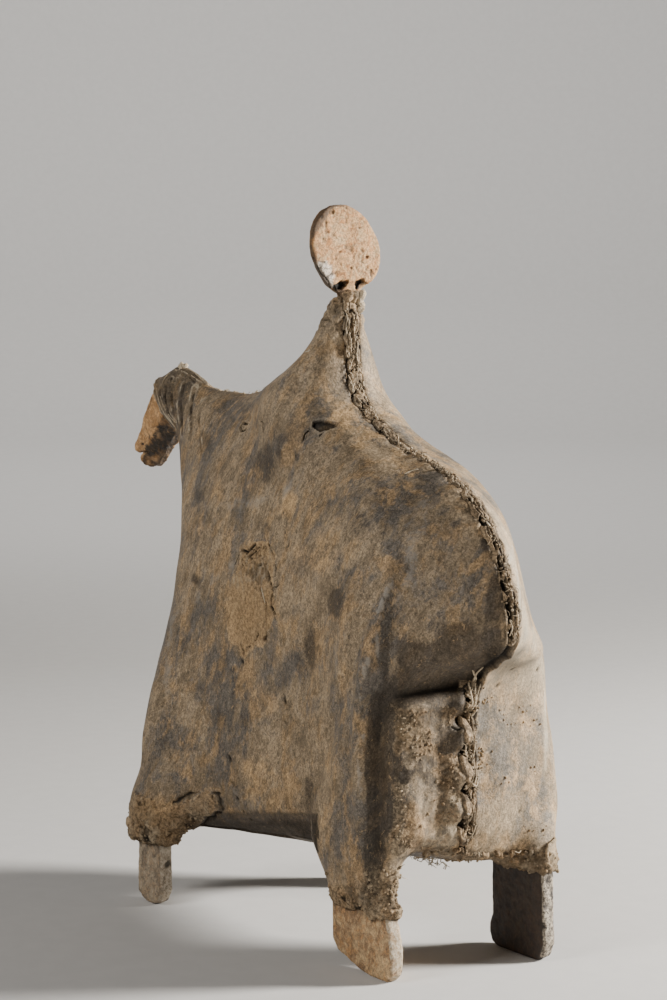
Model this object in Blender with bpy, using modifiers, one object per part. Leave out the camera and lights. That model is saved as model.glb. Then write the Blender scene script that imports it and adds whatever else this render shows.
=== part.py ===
"""Horse and rider figure: a hide stretched over a wooden horse and its rider.

Metres, +Z up. The horse faces -Y and its left side is +X. The origin lies on the
ground under the middle of the figure's box.
"""

import math

import bmesh
import bpy
from mathutils import Matrix, Vector

# Driving dimensions
HEIGHT = 0.500
BODY_LENGTH = 0.350
BODY_WIDTH = 0.150
GAP = 0.0003

# Rider's head: a flat oval board
DISC_LENGTH = 0.0615
DISC_WIDTH = 0.0530
DISC_THICKNESS = 0.006
DISC_EDGE = 0.0018
DISC_TILT_DEG = 34.0
DISC_FULLNESS = 0.16
DISC_X = 0.0
DISC_Y = -12.0
TANG_WIDTH = 0.010
TANG_X = 0.0
NECK_CLEARANCE = 0.003

# Plank legs, fore and aft width by thickness
FRONT_LEG_WIDTH = 0.032
FRONT_LEG_THICKNESS = 0.011
HIND_LEG_WIDTH = 0.060
RIGHT_HIND_LEG_WIDTH = 0.054
HIND_LEG_THICKNESS = 0.011
LEG_EDGE = 0.0022

# Lacing ridges
LACE_RADIUS = 0.0052
CREST_RADIUS = 0.0032
LACE_GAP = 0.0005

# How far the blocks that trim the hide flat reach past its edges
TRIM_REACH = 0.030

# Resolution of the hide
RING_POINTS = 44
HIDE_CELL = 0.0072
HIDE_KEEP = 0.36

# The hide's rings are given in millimetres on a figure of these sizes, then scaled
DRAWN_HEIGHT = 500.0
DRAWN_LENGTH = 350.0
DRAWN_WIDTH = 150.0
SX = BODY_WIDTH / DRAWN_WIDTH
SY = BODY_LENGTH / DRAWN_LENGTH
SZ = HEIGHT / DRAWN_HEIGHT

COLOURS = {
    "hide": (0.225, 0.165, 0.098),
    "lace": (0.190, 0.135, 0.080),
    "pale_wood": (0.560, 0.370, 0.215),
    "face_wood": (0.480, 0.250, 0.095),
    "leg_wood": (0.300, 0.180, 0.085),
}


def place(x, y, z):
    """A point of the drawn figure in metres at the built size."""
    return Vector((x * SX, y * SY, z * SZ))


def clear_scene():
    for obj in list(bpy.data.objects):
        bpy.data.objects.remove(obj, do_unlink=True)


def new_collection(name):
    collection = bpy.data.collections.new(name)
    bpy.context.scene.collection.children.link(collection)
    return collection


def material(name, roughness):
    mat = bpy.data.materials.new(name)
    mat.use_nodes = True
    shader = mat.node_tree.nodes["Principled BSDF"]
    shader.inputs["Base Color"].default_value = (*COLOURS[name], 1.0)
    shader.inputs["Roughness"].default_value = roughness
    shader.inputs["Metallic"].default_value = 0.0
    mat.diffuse_color = (*COLOURS[name], 1.0)
    return mat


def object_from_bmesh(name, bm, collection):
    bmesh.ops.recalc_face_normals(bm, faces=bm.faces)
    mesh = bpy.data.meshes.new(name)
    bm.to_mesh(mesh)
    bm.free()
    obj = bpy.data.objects.new(name, mesh)
    collection.objects.link(obj)
    return obj


def bake(obj):
    """Replace the object's mesh by the mesh its modifiers give."""
    depsgraph = bpy.context.evaluated_depsgraph_get()
    mesh = bpy.data.meshes.new_from_object(obj.evaluated_get(depsgraph))
    obj.modifiers.clear()
    obj.data = mesh
    return obj


def boolean(obj, cutter, operation):
    mod = obj.modifiers.new(operation.title(), "BOOLEAN")
    mod.operation = operation
    mod.solver = "EXACT"
    mod.object = cutter
    return bake(obj)


def as_cutter(obj):
    obj.hide_render = True
    obj.display_type = "WIRE"
    return obj


def finish(obj, mat, angle_deg=40.0):
    obj.data.materials.clear()
    obj.data.materials.append(mat)
    obj.data.shade_smooth()
    obj.data.set_sharp_from_angle(angle=math.radians(angle_deg))
    return obj


def spline_point(points, t, closed):
    """Catmull-Rom point at parameter t, counted in control points."""
    count = len(points)
    i = int(math.floor(t))
    u = t - i

    def control(k):
        if closed:
            return points[k % count]
        return points[max(0, min(count - 1, k))]

    a = control(i - 1)
    b = control(i)
    c = control(i + 1)
    d = control(i + 2)
    result = []
    for p, q, r, s in zip(a, b, c, d):
        m = 0.5 * (r - p)
        n = 0.5 * (s - q)
        cubic = 2 * q - 2 * r + m + n
        square = -3 * q + 3 * r - 2 * m - n
        result.append(((cubic * u + square) * u + m) * u + q)
    return result


def smooth_line(points, steps, closed=False):
    count = len(points)
    if closed:
        return [spline_point(points, count * k / steps, True) for k in range(steps)]
    return [spline_point(points, (count - 1) * k / (steps - 1), False) for k in range(steps)]


def loft(name, rings, collection):
    """Closed body through rings of equal point counts, capped at both ends."""
    bm = bmesh.new()
    rows = [[bm.verts.new(p) for p in ring] for ring in rings]
    count = len(rows[0])
    for low, high in zip(rows, rows[1:]):
        for k in range(count):
            n = (k + 1) % count
            bm.faces.new((low[k], low[n], high[n], high[k]))
    bm.faces.new(list(reversed(rows[0])))
    bm.faces.new(rows[-1])
    return object_from_bmesh(name, bm, collection)


# Level rings of the body, bottom to top. Each row is z, the chest's and the rear's
# place on the median plane, then the half widths at the front corner (and its Y),
# shoulder, flank, loin, and thigh (and its Y), and the rear corner (and its Y), and
# last how much wider the right haunch is than the left one.
BODY_LEVELS = (
    (68, -150, 66, -146, 58, 52, 48, 50, 84, 48, 108, 114, 14),
    (76, -156, 76, -152, 66, 60, 56, 58, 85, 54, 113, 123, 21),
    (94, -160, 82, -156, 71, 64, 58, 63, 87, 58, 116, 127, 24),
    (125, -163, 81, -158, 72, 65, 59, 67, 90, 59, 117, 128, 20),
    (156, -164, 74, -156, 69, 65, 59, 69, 92, 59, 117, 127, 14),
    (187, -165, 65, -153, 66, 64, 60, 70, 95, 58, 119, 128, 10),
    (203, -167, 61, -151, 64, 63, 62, 70, 98, 55, 128, 140, 7),
    (217, -170, 57, -150, 62, 63, 63, 70, 99, 49, 134, 167, 3),
    (240, -176, 53, -149, 59, 61, 64, 68, 99, 41, 133, 173, 1),
    (262, -184, 48, -149, 55, 58, 62, 64, 97, 39, 127, 164, 1),
    (290, -199, 41, -152, 49, 53, 57, 56, 92, 34, 122, 151, 1),
    (310, -211, 34, -155, 42, 48, 52, 48, 82, 26, 107, 133, 2),
    (325, -218, 28, -160, 36, 43, 47, 39, 69, 18, 87, 111, 3),
    (336, -221, 25, -166, 31, 38, 42, 32, 48, 12, 60, 75, 3),
    (347, -224, 21, -172, 25, 33, 37, 28, 28, 13, 37, 44, 4),
    (360, -226, 15, -180, 18, 25, 29, 20, 8, 10, 13, 17, 2),
)
# Height of the hem above the lowest ring along the left flank: Y and lift
HEM_LIFT = ((-170, -9), (-120, -11), (-90, -8), (-45, 1), (0, 10), (30, 16), (60, 14), (105, 6), (130, 8))
HEM_TOP = 94.0
REAR_ARCH = 9.0


def hem_lift(x, y):
    value = HEM_LIFT[-1][1]
    if y < HEM_LIFT[0][0]:
        value = HEM_LIFT[0][1]
    for (y0, v0), (y1, v1) in zip(HEM_LIFT, HEM_LIFT[1:]):
        if y0 <= y <= y1:
            value = v0 + (v1 - v0) * (y - y0) / (y1 - y0)
    # the rear hem arches up left of the seam, and hangs lower on the right
    rear = min(1.0, max(0.0, (y - 95.0) / 20.0))
    return value + rear * (REAR_ARCH * math.exp(-(((x - 26.0) / 20.0) ** 2)) - (8.0 if x < -4.0 else 2.0))


def body_ring(row):
    z, chest, fc, fcy, sh, fl, lo, th, thy, rc, rcy, rear, swell = row
    side = (
        (fc * 0.62, (chest * 0.72 + fcy * 0.28), 0.0),
        (fc, fcy + 4, 0.0),
        (sh, fcy * 0.66 - 4, 0.0),
        (fl, fcy * 0.33 - 5, 0.1),
        (lo, thy * 0.22, 0.35),
        ((lo + th) * 0.5 - 1.0, thy * 0.60, 0.7),
        (th, thy, 1.0),
        (rc, rcy, 1.0),
        (rc * 0.52, (rear * 0.62 + rcy * 0.38) + 1, 0.5),
    )
    points = [(0.0, chest)]
    points += [(x, y) for x, y, share in side]
    points += [(0.0, rear)]
    points += [(-x - swell * share, y + 0.35 * swell * share) for x, y, share in reversed(side)]
    ring = smooth_line(points, RING_POINTS, closed=True)
    low = min(1.0, max(0.0, (HEM_TOP - z) / (HEM_TOP - BODY_LEVELS[1][0])))
    return [(x, y, z + low * hem_lift(x, y)) for x, y in ring]


def build_body(collection):
    rows = smooth_line(BODY_LEVELS, 2 * len(BODY_LEVELS) - 1)
    rings = [[place(*p) for p in body_ring(row)] for row in rows]
    return loft("body", rings, collection)


# Sections of the horse's neck, from the shoulders to the face: the crest's Y and
# height, the throat's Y and height, and the half width.
NECK_SECTIONS = (
    (-96, 377, -96, 300, 22),
    (-122, 370, -118, 300, 21),
    (-148, 368, -142, 300, 19),
    (-174, 368, -164, 300, 18),
    (-198, 375, -186, 304, 17),
    (-220, 382, -203, 314, 16.5),
    (-240, 382, -213, 325, 16),
    (-256, 374, -221, 334, 15.5),
    (-266, 366, -227, 336, 14),
)
MOUTH_TOP = (-256.0, 374.0)
MOUTH_LOW = (-219.0, 333.0)


def neck_section(row):
    crest_y, crest, throat_y, throat, half = row
    ring = []
    for k in range(20):
        a = 2.0 * math.pi * k / 20
        up = 0.5 + 0.5 * math.sin(a)
        x = half * math.cos(a) * (0.86 + 0.14 * abs(math.cos(a)))
        ring.append(place(x, throat_y + (crest_y - throat_y) * up, throat + (crest - throat) * up))
    return ring


def build_neck(collection):
    rows = smooth_line(NECK_SECTIONS, 17)
    return loft("neck", [neck_section(row) for row in rows], collection)


# Level rings of the rider: z, the chest's and the back's Y, and the half width
RIDER_LEVELS = (
    (330, -120, 48, 56),
    (350, -118, 32, 53),
    (364, -112, 12, 49),
    (378, -94, 1, 43),
    (392, -56, -1, 34),
    (408, -39, -1, 24),
    (424, -29, 0, 17.5),
    (436, -25, 1, 15.0),
    (452, -24, 1, 14.4),
)


def rider_ring(row):
    z, chest, back, half = row
    middle = 0.5 * (chest + back)
    long = 0.5 * (back - chest)
    ring = []
    for k in range(24):
        a = 2.0 * math.pi * (k + 0.5) / 24
        c = math.cos(a)
        s = math.sin(a)
        # the shoulders are near the back, and the chest runs out in the horse's crest
        toward_back = 0.5 + 0.5 * s
        width = half * (0.42 + 0.58 * min(1.0, 1.5 * toward_back))
        ring.append(place(width * math.copysign(abs(c) ** 0.75, c), middle + long * s, z))
    return ring


def build_rider(collection):
    rows = smooth_line(RIDER_LEVELS, 17)
    return loft("rider", [rider_ring(row) for row in rows], collection)


# Leg sleeves of hide: level, fore and aft ends, inner and outer face, top to bottom
FRONT_SLEEVE = (
    (104, -160, -100, 48, 80),
    (84, -168, -102, 54, 87),
    (66, -170, -110, 58, 90),
    (54, -166, -118, 63, 88),
    (44, -162, -122, 65, 85),
    (36, -160, -124, 66, 84),
)
HIND_SLEEVE = (
    (140, 56, 120, 34, 64),
    (110, 43, 120, 36, 65),
    (90, 28, 120, 38, 65),
    (76, 31, 120, 39, 65),
    (64, 41, 120, 40, 64),
    (52, 47, 120, 41, 62),
    (42, 49, 118, 42, 60),
    (32, 50, 117, 43, 59),
)
RIGHT_HIND_SLEEVE = (
    (140, 72, 122, 40, 76),
    (110, 70, 126, 42, 79),
    (86, 69, 134, 44, 80),
    (70, 70, 139, 46, 77),
    (60, 71, 140, 47, 73),
    (52, 72, 140, 48, 71),
)


def sleeve_ring(row, side):
    z, front, rear, inner, outer = row
    cx = 0.5 * (inner + outer)
    cy = 0.5 * (front + rear)
    hx = 0.5 * (outer - inner)
    hy = 0.5 * (rear - front)
    ring = []
    for k in range(20):
        a = 2.0 * math.pi * k / 20
        c = math.cos(a)
        s = math.sin(a)
        x = cx + hx * math.copysign(abs(c) ** 0.75, c)
        y = cy + hy * math.copysign(abs(s) ** 0.75, s)
        ring.append(place(side * x, y, z))
    return ring


def build_sleeve(name, levels, side, shift, collection):
    rings = []
    for row in levels:
        z, front, rear, inner, outer = row
        rings.append(sleeve_ring((z, front + shift, rear + shift, inner, outer), side))
    return loft(name, rings, collection)


# Median line of the back lacing: Y and z, from the rider's neck to the rear hem
BACK_LINE = (
    (-2, 438), (-3, 412), (-3, 392), (3, 374), (17, 357), (39, 345), (64, 337),
    (90, 331), (113, 321), (134, 308), (147, 294), (159, 278), (168, 259),
    (174, 240), (175, 224), (168, 213), (152, 204), (139, 195), (131, 182),
    (129, 160), (129, 135), (129, 110), (127, 95), (122, 81),
)
# Median line of the crest lacing, from the poll to the foot of the rider's chest
CREST_LINE = (
    (-236, 383), (-222, 384), (-207, 380), (-195, 375), (-176, 369), (-150, 368),
    (-126, 369), (-104, 374), (-84, 382), (-64, 391),
)


def lace_tube(name, line, radius, steps, waves, collection):
    """Thong lacing: a ridge along the median line that swells at each stitch."""
    rail = smooth_line(line, steps)
    bm = bmesh.new()
    rows = []
    for k, (y, z) in enumerate(rail):
        before = rail[max(0, k - 1)]
        after = rail[min(steps - 1, k + 1)]
        along = place(0.0, after[0] - before[0], after[1] - before[1]).normalized()
        outward = Vector((0.0, along.z, -along.y))
        across = Vector((1.0, 0.0, 0.0))
        phase = 2.0 * math.pi * waves * k / (steps - 1)
        ends = min(1.0, 0.55 + min(k, steps - 1 - k) * 0.3)
        swell = radius * ends * (1.0 + 0.16 * math.cos(phase * 2.0))
        centre = place(0.0, y, z)
        row = []
        for j in range(8):
            a = 2.0 * math.pi * (j + 0.5) / 8
            flat = 1.12 * swell * math.cos(a)
            rise = 0.86 * swell * math.sin(a)
            row.append(bm.verts.new(centre + across * flat + outward * rise))
        rows.append(row)
    for low, high in zip(rows, rows[1:]):
        for j in range(8):
            n = (j + 1) % 8
            bm.faces.new((low[j], low[n], high[n], high[j]))
    bm.faces.new(list(reversed(rows[0])))
    bm.faces.new(rows[-1])
    return object_from_bmesh(name, bm, collection)


def slab(name, outline, thickness, collection, edge):
    """A board: a flat outline in the Y-Z plane, thickened along X, with worn edges."""
    bm = bmesh.new()
    near = [bm.verts.new((-0.5 * thickness, y, z)) for y, z in outline]
    far = [bm.verts.new((0.5 * thickness, y, z)) for y, z in outline]
    count = len(outline)
    bm.faces.new(near)
    bm.faces.new(list(reversed(far)))
    for k in range(count):
        n = (k + 1) % count
        bm.faces.new((near[n], near[k], far[k], far[n]))
    obj = object_from_bmesh(name, bm, collection)
    if edge > 0.0:
        mod = obj.modifiers.new("Edge", "BEVEL")
        mod.width = edge
        mod.segments = 2
        mod.limit_method = "ANGLE"
        mod.angle_limit = math.radians(50.0)
        bake(obj)
    return obj


def leg_outline(width, top, foot):
    """Plank outline: straight sides, and a foot given by points across the width."""
    half = 0.5 * width
    points = [(-half, top)]
    points += [(u * width, v * width) for u, v in foot]
    points += [(half, top)]
    return points


# Feet: place from front to rear and height of the outline there, as shares of the width;
# the hind planks grow wider toward the ground
FRONT_FOOT = ((-0.50, 0.19), (-0.36, 0.056), (-0.14, 0.0), (0.14, 0.0), (0.36, 0.094), (0.50, 0.344))
LEFT_HIND_FOOT = (
    (-0.50, 0.26), (-0.40, 0.15), (-0.20, 0.085), (0.0, 0.03), (0.20, 0.0), (0.50, 0.0), (0.60, 0.09), (0.60, 0.35),
)
RIGHT_HIND_FOOT = (
    (-0.47, 0.42), (-0.52, 0.30), (-0.53, 0.17), (-0.48, 0.04), (-0.36, 0.0), (0.36, 0.0), (0.48, 0.06), (0.54, 0.22), (0.53, 0.50),
)

# Legs: centre X and Y in the drawn figure, foot, width, thickness, and the
# height at which the hide's cuff ends and the plank comes out
LEGS = {
    "leg_front_left": (75, -142, FRONT_FOOT, FRONT_LEG_WIDTH, FRONT_LEG_THICKNESS, 48),
    "leg_front_right": (-74, -104, FRONT_FOOT, FRONT_LEG_WIDTH, FRONT_LEG_THICKNESS, 48),
    "leg_hind_left": (51, 84, LEFT_HIND_FOOT, HIND_LEG_WIDTH, HIND_LEG_THICKNESS, 44),
    "leg_hind_right": (-60, 110, RIGHT_HIND_FOOT, RIGHT_HIND_LEG_WIDTH, HIND_LEG_THICKNESS, 64),
}


def build_leg(name, collection):
    x, y, foot, width, thickness, cuff = LEGS[name]
    outline = leg_outline(width, cuff * SZ, foot)
    obj = slab(name, outline, thickness, collection, LEG_EDGE)
    obj.location = place(x, y, 0.0)
    return obj


def block(name, low, high, collection):
    """A plain box between two corners."""
    bm = bmesh.new()
    bmesh.ops.create_cube(bm, size=1.0)
    bmesh.ops.scale(bm, vec=high - low, verts=bm.verts)
    bmesh.ops.translate(bm, vec=0.5 * (low + high), verts=bm.verts)
    return as_cutter(object_from_bmesh(name, bm, collection))


def cuff_trim(name, collection):
    """The space below a leg's cuff, which ends the hide flat on the plank's top."""
    x, y, foot, width, thickness, cuff = LEGS[name]
    centre = place(x, y, cuff) + Vector((0.0, 0.0, GAP))
    reach = Vector((TRIM_REACH, 0.5 * width + TRIM_REACH, 0.0))
    low = centre - reach - Vector((0.0, 0.0, TRIM_REACH))
    return block(name + "_trim", low, centre + reach, collection)


# Side outline of the horse's wooden face, from the mouth of the hide round the nose
# to the throat: Y and z
FACE_OUTLINE = (
    (-250, 363), (-257, 355), (-266, 345), (-272, 334), (-277, 328),
    (-283, 323), (-284, 318), (-281, 315), (-275, 316), (-277, 311), (-274, 307), (-267, 305),
    (-259, 308), (-252, 315), (-243, 324), (-234, 331), (-226, 336),
)
FACE_HALF_WIDTH = 0.0120
MUZZLE_HALF_WIDTH = 0.0080
FACE_EDGE = 0.0028


def mouth_plane(distance):
    """A point of the hide's mouth moved forward by a distance, and the way it faces."""
    top = place(0.0, *MOUTH_TOP)
    low = place(0.0, *MOUTH_LOW)
    along = (top - low).normalized()
    facing = Vector((0.0, -along.z, along.y))
    return top + facing * distance, low + facing * distance, facing


def build_face(name, collection):
    top, low, facing = mouth_plane(GAP)
    outline = [(place(0.0, y, z).y, place(0.0, y, z).z) for y, z in FACE_OUTLINE]
    # both ends of the outline lie on the plane where the face meets the hide
    for index in (0, -1):
        point = Vector((0.0, *outline[index]))
        point -= facing * (point - top).dot(facing)
        outline[index] = (point.y, point.z)
    obj = slab(name, outline, 2.0 * FACE_HALF_WIDTH, collection, FACE_EDGE)
    muzzle = place(0.0, -282, 316)
    cheek = place(0.0, -238, 350)
    way = (cheek - muzzle).normalized()
    span = (cheek - muzzle).length
    ratio = MUZZLE_HALF_WIDTH / FACE_HALF_WIDTH
    # the face narrows from the cheeks to the muzzle
    for vert in obj.data.vertices:
        flat = Vector((0.0, vert.co.y, vert.co.z))
        share = min(1.0, max(0.0, (flat - muzzle).dot(way) / span))
        vert.co.x *= ratio + (1.0 - ratio) * share
    return obj


def mouth_trim(collection):
    """The space in front of the hide's mouth."""
    top, low, facing = mouth_plane(0.0)
    up = (top - low).normalized()
    centre = 0.5 * (top + low)
    bm = bmesh.new()
    bmesh.ops.create_cube(bm, size=2.0 * TRIM_REACH)
    frame = Matrix((Vector((1.0, 0.0, 0.0)), facing, up)).transposed().to_4x4()
    bmesh.ops.transform(bm, matrix=Matrix.Translation(centre + facing * TRIM_REACH) @ frame, verts=bm.verts)
    return as_cutter(object_from_bmesh("mouth_trim", bm, collection))


def disc_half_height():
    """Half the height that the leaning disc takes."""
    tilt = math.radians(DISC_TILT_DEG)
    return math.hypot(0.5 * DISC_LENGTH * math.cos(tilt), 0.5 * DISC_WIDTH * math.sin(tilt))


def neck_top():
    """Height where the hide neck ends, a little below the disc."""
    return HEIGHT - 2.0 * disc_half_height() - NECK_CLEARANCE


def build_tang(collection):
    low = Vector((-0.5 * TANG_WIDTH, -0.3 * DISC_THICKNESS, neck_top() + GAP))
    high = Vector((0.5 * TANG_WIDTH, 0.3 * DISC_THICKNESS, HEIGHT - 0.75 * DISC_LENGTH))
    shift = place(TANG_X, DISC_Y, 0.0)
    return block("tang", low + shift, high + shift, collection)


def build_disc(name, collection):
    """The rider's head: an oval board on a short tang, leaning to its left."""
    tilt = math.radians(DISC_TILT_DEG)
    half_l = 0.5 * DISC_LENGTH
    half_w = 0.5 * DISC_WIDTH
    count = 40
    bm = bmesh.new()
    rim = []
    for k in range(count):
        a = 2.0 * math.pi * (k + 0.5) / count
        # fuller toward the chin than at the crown
        full = 1.0 + DISC_FULLNESS * max(0.0, -math.cos(a)) * abs(math.sin(a))
        rim.append((full * half_w * math.sin(a), full * half_l * math.cos(a)))
    front = [bm.verts.new((x, -0.5 * DISC_THICKNESS, z)) for x, z in rim]
    back = [bm.verts.new((x, 0.5 * DISC_THICKNESS, z)) for x, z in rim]
    bm.faces.new(front)
    bm.faces.new(list(reversed(back)))
    for k in range(count):
        n = (k + 1) % count
        bm.faces.new((front[n], front[k], back[k], back[n]))
    obj = object_from_bmesh(name, bm, collection)
    mod = obj.modifiers.new("Edge", "BEVEL")
    mod.width = DISC_EDGE
    mod.segments = 2
    mod.limit_method = "ANGLE"
    mod.angle_limit = math.radians(50.0)
    bake(obj)
    obj.data.transform(Matrix.Rotation(tilt, 4, "Y"))
    centre = place(DISC_X, DISC_Y, 0.0) + Vector((0.0, 0.0, HEIGHT - disc_half_height()))
    obj.data.transform(Matrix.Translation(centre))
    tang = build_tang(collection)
    boolean(obj, tang, "UNION")
    bpy.data.objects.remove(tang, do_unlink=True)
    return obj


def build_hide(collection, cutters):
    hide = build_body(collection)
    hide.name = "hide"
    parts = [
        build_neck(cutters),
        build_rider(cutters),
        build_sleeve("sleeve_fl", FRONT_SLEEVE, 1.0, 0.0, cutters),
        build_sleeve("sleeve_fr", FRONT_SLEEVE, -1.0, 38.0, cutters),
        build_sleeve("sleeve_hl", HIND_SLEEVE, 1.0, 0.0, cutters),
        build_sleeve("sleeve_hr", RIGHT_HIND_SLEEVE, -1.0, 0.0, cutters),
    ]
    for part in parts:
        boolean(hide, part, "UNION")
        bpy.data.objects.remove(part, do_unlink=True)
    mod = hide.modifiers.new("Cells", "REMESH")
    mod.mode = "VOXEL"
    mod.voxel_size = HIDE_CELL
    bake(hide)
    mod = hide.modifiers.new("Taut", "SMOOTH")
    mod.factor = 0.5
    mod.iterations = 2
    bake(hide)
    mod = hide.modifiers.new("Facets", "DECIMATE")
    mod.decimate_type = "COLLAPSE"
    mod.ratio = HIDE_KEEP
    bake(hide)
    return hide


def move_to_origin(collection):
    """Set the figure on the ground with the middle of its box over the origin."""
    bpy.context.view_layer.update()
    corners = []
    for obj in collection.objects:
        corners += [obj.matrix_world @ vert.co for vert in obj.data.vertices]
    low = [min(c[k] for c in corners) for k in range(3)]
    high = [max(c[k] for c in corners) for k in range(3)]
    shift = Vector((-0.5 * (low[0] + high[0]), -0.5 * (low[1] + high[1]), -low[2]))
    for obj in collection.objects:
        obj.location += shift


def main():
    clear_scene()
    figure = new_collection("horse_and_rider")
    cutters = new_collection("cutters")
    hide_mat = material("hide", 0.55)
    lace_mat = material("lace", 0.75)
    pale_mat = material("pale_wood", 0.80)
    face_mat = material("face_wood", 0.65)
    leg_mat = material("leg_wood", 0.75)

    hide = build_hide(figure, cutters)

    for name in LEGS:
        boolean(hide, cuff_trim(name, cutters), "DIFFERENCE")
        finish(build_leg(name, figure), leg_mat)

    boolean(hide, mouth_trim(cutters), "DIFFERENCE")
    finish(build_face("horse_head", figure), face_mat)

    low = Vector((-TRIM_REACH, -2.0 * TRIM_REACH, neck_top()))
    high = Vector((TRIM_REACH, TRIM_REACH, neck_top() + TRIM_REACH))
    boolean(hide, block("neck_trim", low, high, cutters), "DIFFERENCE")
    finish(build_disc("rider_head", figure), pale_mat)

    crest_groove = lace_tube("crest_groove", CREST_LINE, CREST_RADIUS + LACE_GAP, 31, 15, cutters)
    boolean(hide, as_cutter(crest_groove), "DIFFERENCE")
    crest = lace_tube("crest_lacing", CREST_LINE, CREST_RADIUS, 31, 15, figure)
    finish(crest, lace_mat)

    groove = lace_tube("back_groove", BACK_LINE, LACE_RADIUS + LACE_GAP, 61, 30, cutters)
    boolean(hide, as_cutter(groove), "DIFFERENCE")
    lacing = lace_tube("back_lacing", BACK_LINE, LACE_RADIUS, 61, 30, figure)
    finish(lacing, lace_mat)

    finish(hide, hide_mat, 60.0)
    move_to_origin(figure)


main()
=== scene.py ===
"""Horse and rider figure: a laced hide over a wooden horse and its rider, with its looks.

Metres, +Z up. The horse faces -Y and its left side is +X.
"""

import math
import random

import bmesh
import bpy
import numpy as np
from bpy.props import FloatProperty, FloatVectorProperty, PointerProperty
from mathutils import Matrix, Vector
from mathutils.bvhtree import BVHTree


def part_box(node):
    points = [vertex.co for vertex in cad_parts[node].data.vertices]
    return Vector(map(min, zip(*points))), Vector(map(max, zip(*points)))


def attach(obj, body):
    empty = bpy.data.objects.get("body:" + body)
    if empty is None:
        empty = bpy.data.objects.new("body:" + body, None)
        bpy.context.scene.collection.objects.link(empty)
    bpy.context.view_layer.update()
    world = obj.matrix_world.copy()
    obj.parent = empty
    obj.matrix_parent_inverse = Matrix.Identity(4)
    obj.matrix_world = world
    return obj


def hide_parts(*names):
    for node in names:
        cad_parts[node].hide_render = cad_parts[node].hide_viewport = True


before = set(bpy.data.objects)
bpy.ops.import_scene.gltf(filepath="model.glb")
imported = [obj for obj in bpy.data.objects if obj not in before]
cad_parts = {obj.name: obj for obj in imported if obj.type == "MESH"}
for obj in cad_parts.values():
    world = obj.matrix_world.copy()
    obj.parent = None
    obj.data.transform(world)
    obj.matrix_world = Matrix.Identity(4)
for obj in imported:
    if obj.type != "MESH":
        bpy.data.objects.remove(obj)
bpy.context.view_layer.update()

bl_info = {
    "name": "Horse and rider figure",
    "version": (1, 0, 0),
    "blender": (4, 5, 0),
    "location": "View3D > Sidebar > Figure",
    "description": "Builds a laced hide figure of a horse and its rider",
    "category": "Object",
}

# The camera: place, way it looks, and lens for a picture 667 wide and 1000 high
CAMERA_PLACE = Vector((0.9321, 1.3587, 0.449))
CAMERA_AZIMUTH_DEG = 145.0
CAMERA_PITCH_DEG = 5.32
LENS_MM = 85.0
SENSOR_MM = 36.0
PICTURE_WIDE = 667.0
PICTURE_HIGH = 1000.0
FOCAL = LENS_MM / SENSOR_MM * PICTURE_HIGH
FIGURE_AWAY = 1.6


# Shapes

def unit(values):
    """Values held between 0 and 1."""
    return np.clip(values, 0.0, 1.0)


def ramp(values, start, span):
    """0 at the start and 1 past the span, which is below 0 for a ramp that falls."""
    return unit((values - start) / span)


def bell(away, width):
    """1 at no distance, falling off over a width."""
    return np.exp(-(away / width) ** 2)


def camera_axes():
    """Right, up and forward of the camera."""
    a = math.radians(CAMERA_AZIMUTH_DEG)
    e = math.radians(CAMERA_PITCH_DEG)
    back = Vector((math.sin(a) * math.cos(e), -math.cos(a) * math.cos(e), math.sin(e)))
    right = Vector((math.cos(a), math.sin(a), 0.0))
    return right, back.cross(right), -back


def spot(tree, px, py):
    """The point of a surface that lies at a pixel of the picture."""
    right, up, forward = camera_axes()
    way = forward + right * ((px - PICTURE_WIDE / 2) / FOCAL) + up * ((PICTURE_HIGH / 2 - py) / FOCAL)
    hit = tree.ray_cast(CAMERA_PLACE, way.normalized())[0]
    if hit is None:
        # beside the outline: the nearest place on the surface at that depth
        hit = tree.find_nearest(CAMERA_PLACE + way * FIGURE_AWAY)[0]
    return hit


def new_object(name, mesh, mat):
    obj = bpy.data.objects.new(name, mesh)
    bpy.context.scene.collection.objects.link(obj)
    mesh.materials.clear()
    mesh.materials.append(mat)
    mesh.shade_smooth()
    return obj


def bake(obj):
    """Give the object the mesh that its modifiers make."""
    graph = bpy.context.evaluated_depsgraph_get()
    mesh = bpy.data.meshes.new_from_object(obj.evaluated_get(graph))
    obj.modifiers.clear()
    obj.data = mesh
    return obj


def skin_over(name, bm, cell, rounds, mat):
    """One closed skin over everything in a bmesh, then smoothed."""
    bmesh.ops.recalc_face_normals(bm, faces=bm.faces)
    mesh = bpy.data.meshes.new(name)
    bm.to_mesh(mesh)
    bm.free()
    obj = new_object(name, mesh, mat)
    mod = obj.modifiers.new("Cells", "REMESH")
    mod.mode = "VOXEL"
    mod.voxel_size = cell
    bake(obj)
    mod = obj.modifiers.new("Taut", "SMOOTH")
    mod.factor = 0.5
    mod.iterations = rounds
    bake(obj)
    obj.data.name = name
    obj.data.shade_smooth()
    return obj


def points_of(obj):
    mesh = obj.data
    co = np.empty(len(mesh.vertices) * 3)
    mesh.vertices.foreach_get("co", co)
    return co.reshape(-1, 3)


def normals_of(obj):
    mesh = obj.data
    out = np.empty(len(mesh.vertices) * 3)
    mesh.vertex_normals.foreach_get("vector", out)
    return out.reshape(-1, 3)


def set_points(obj, co):
    obj.data.vertices.foreach_set("co", co.ravel())
    obj.data.update()


def mark(obj, name, values):
    """Store a value for each vertex, for the material to read."""
    layer = obj.data.attributes.get(name) or obj.data.attributes.new(name, "FLOAT", "POINT")
    layer.data.foreach_set("value", unit(values).astype(np.float32))


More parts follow.
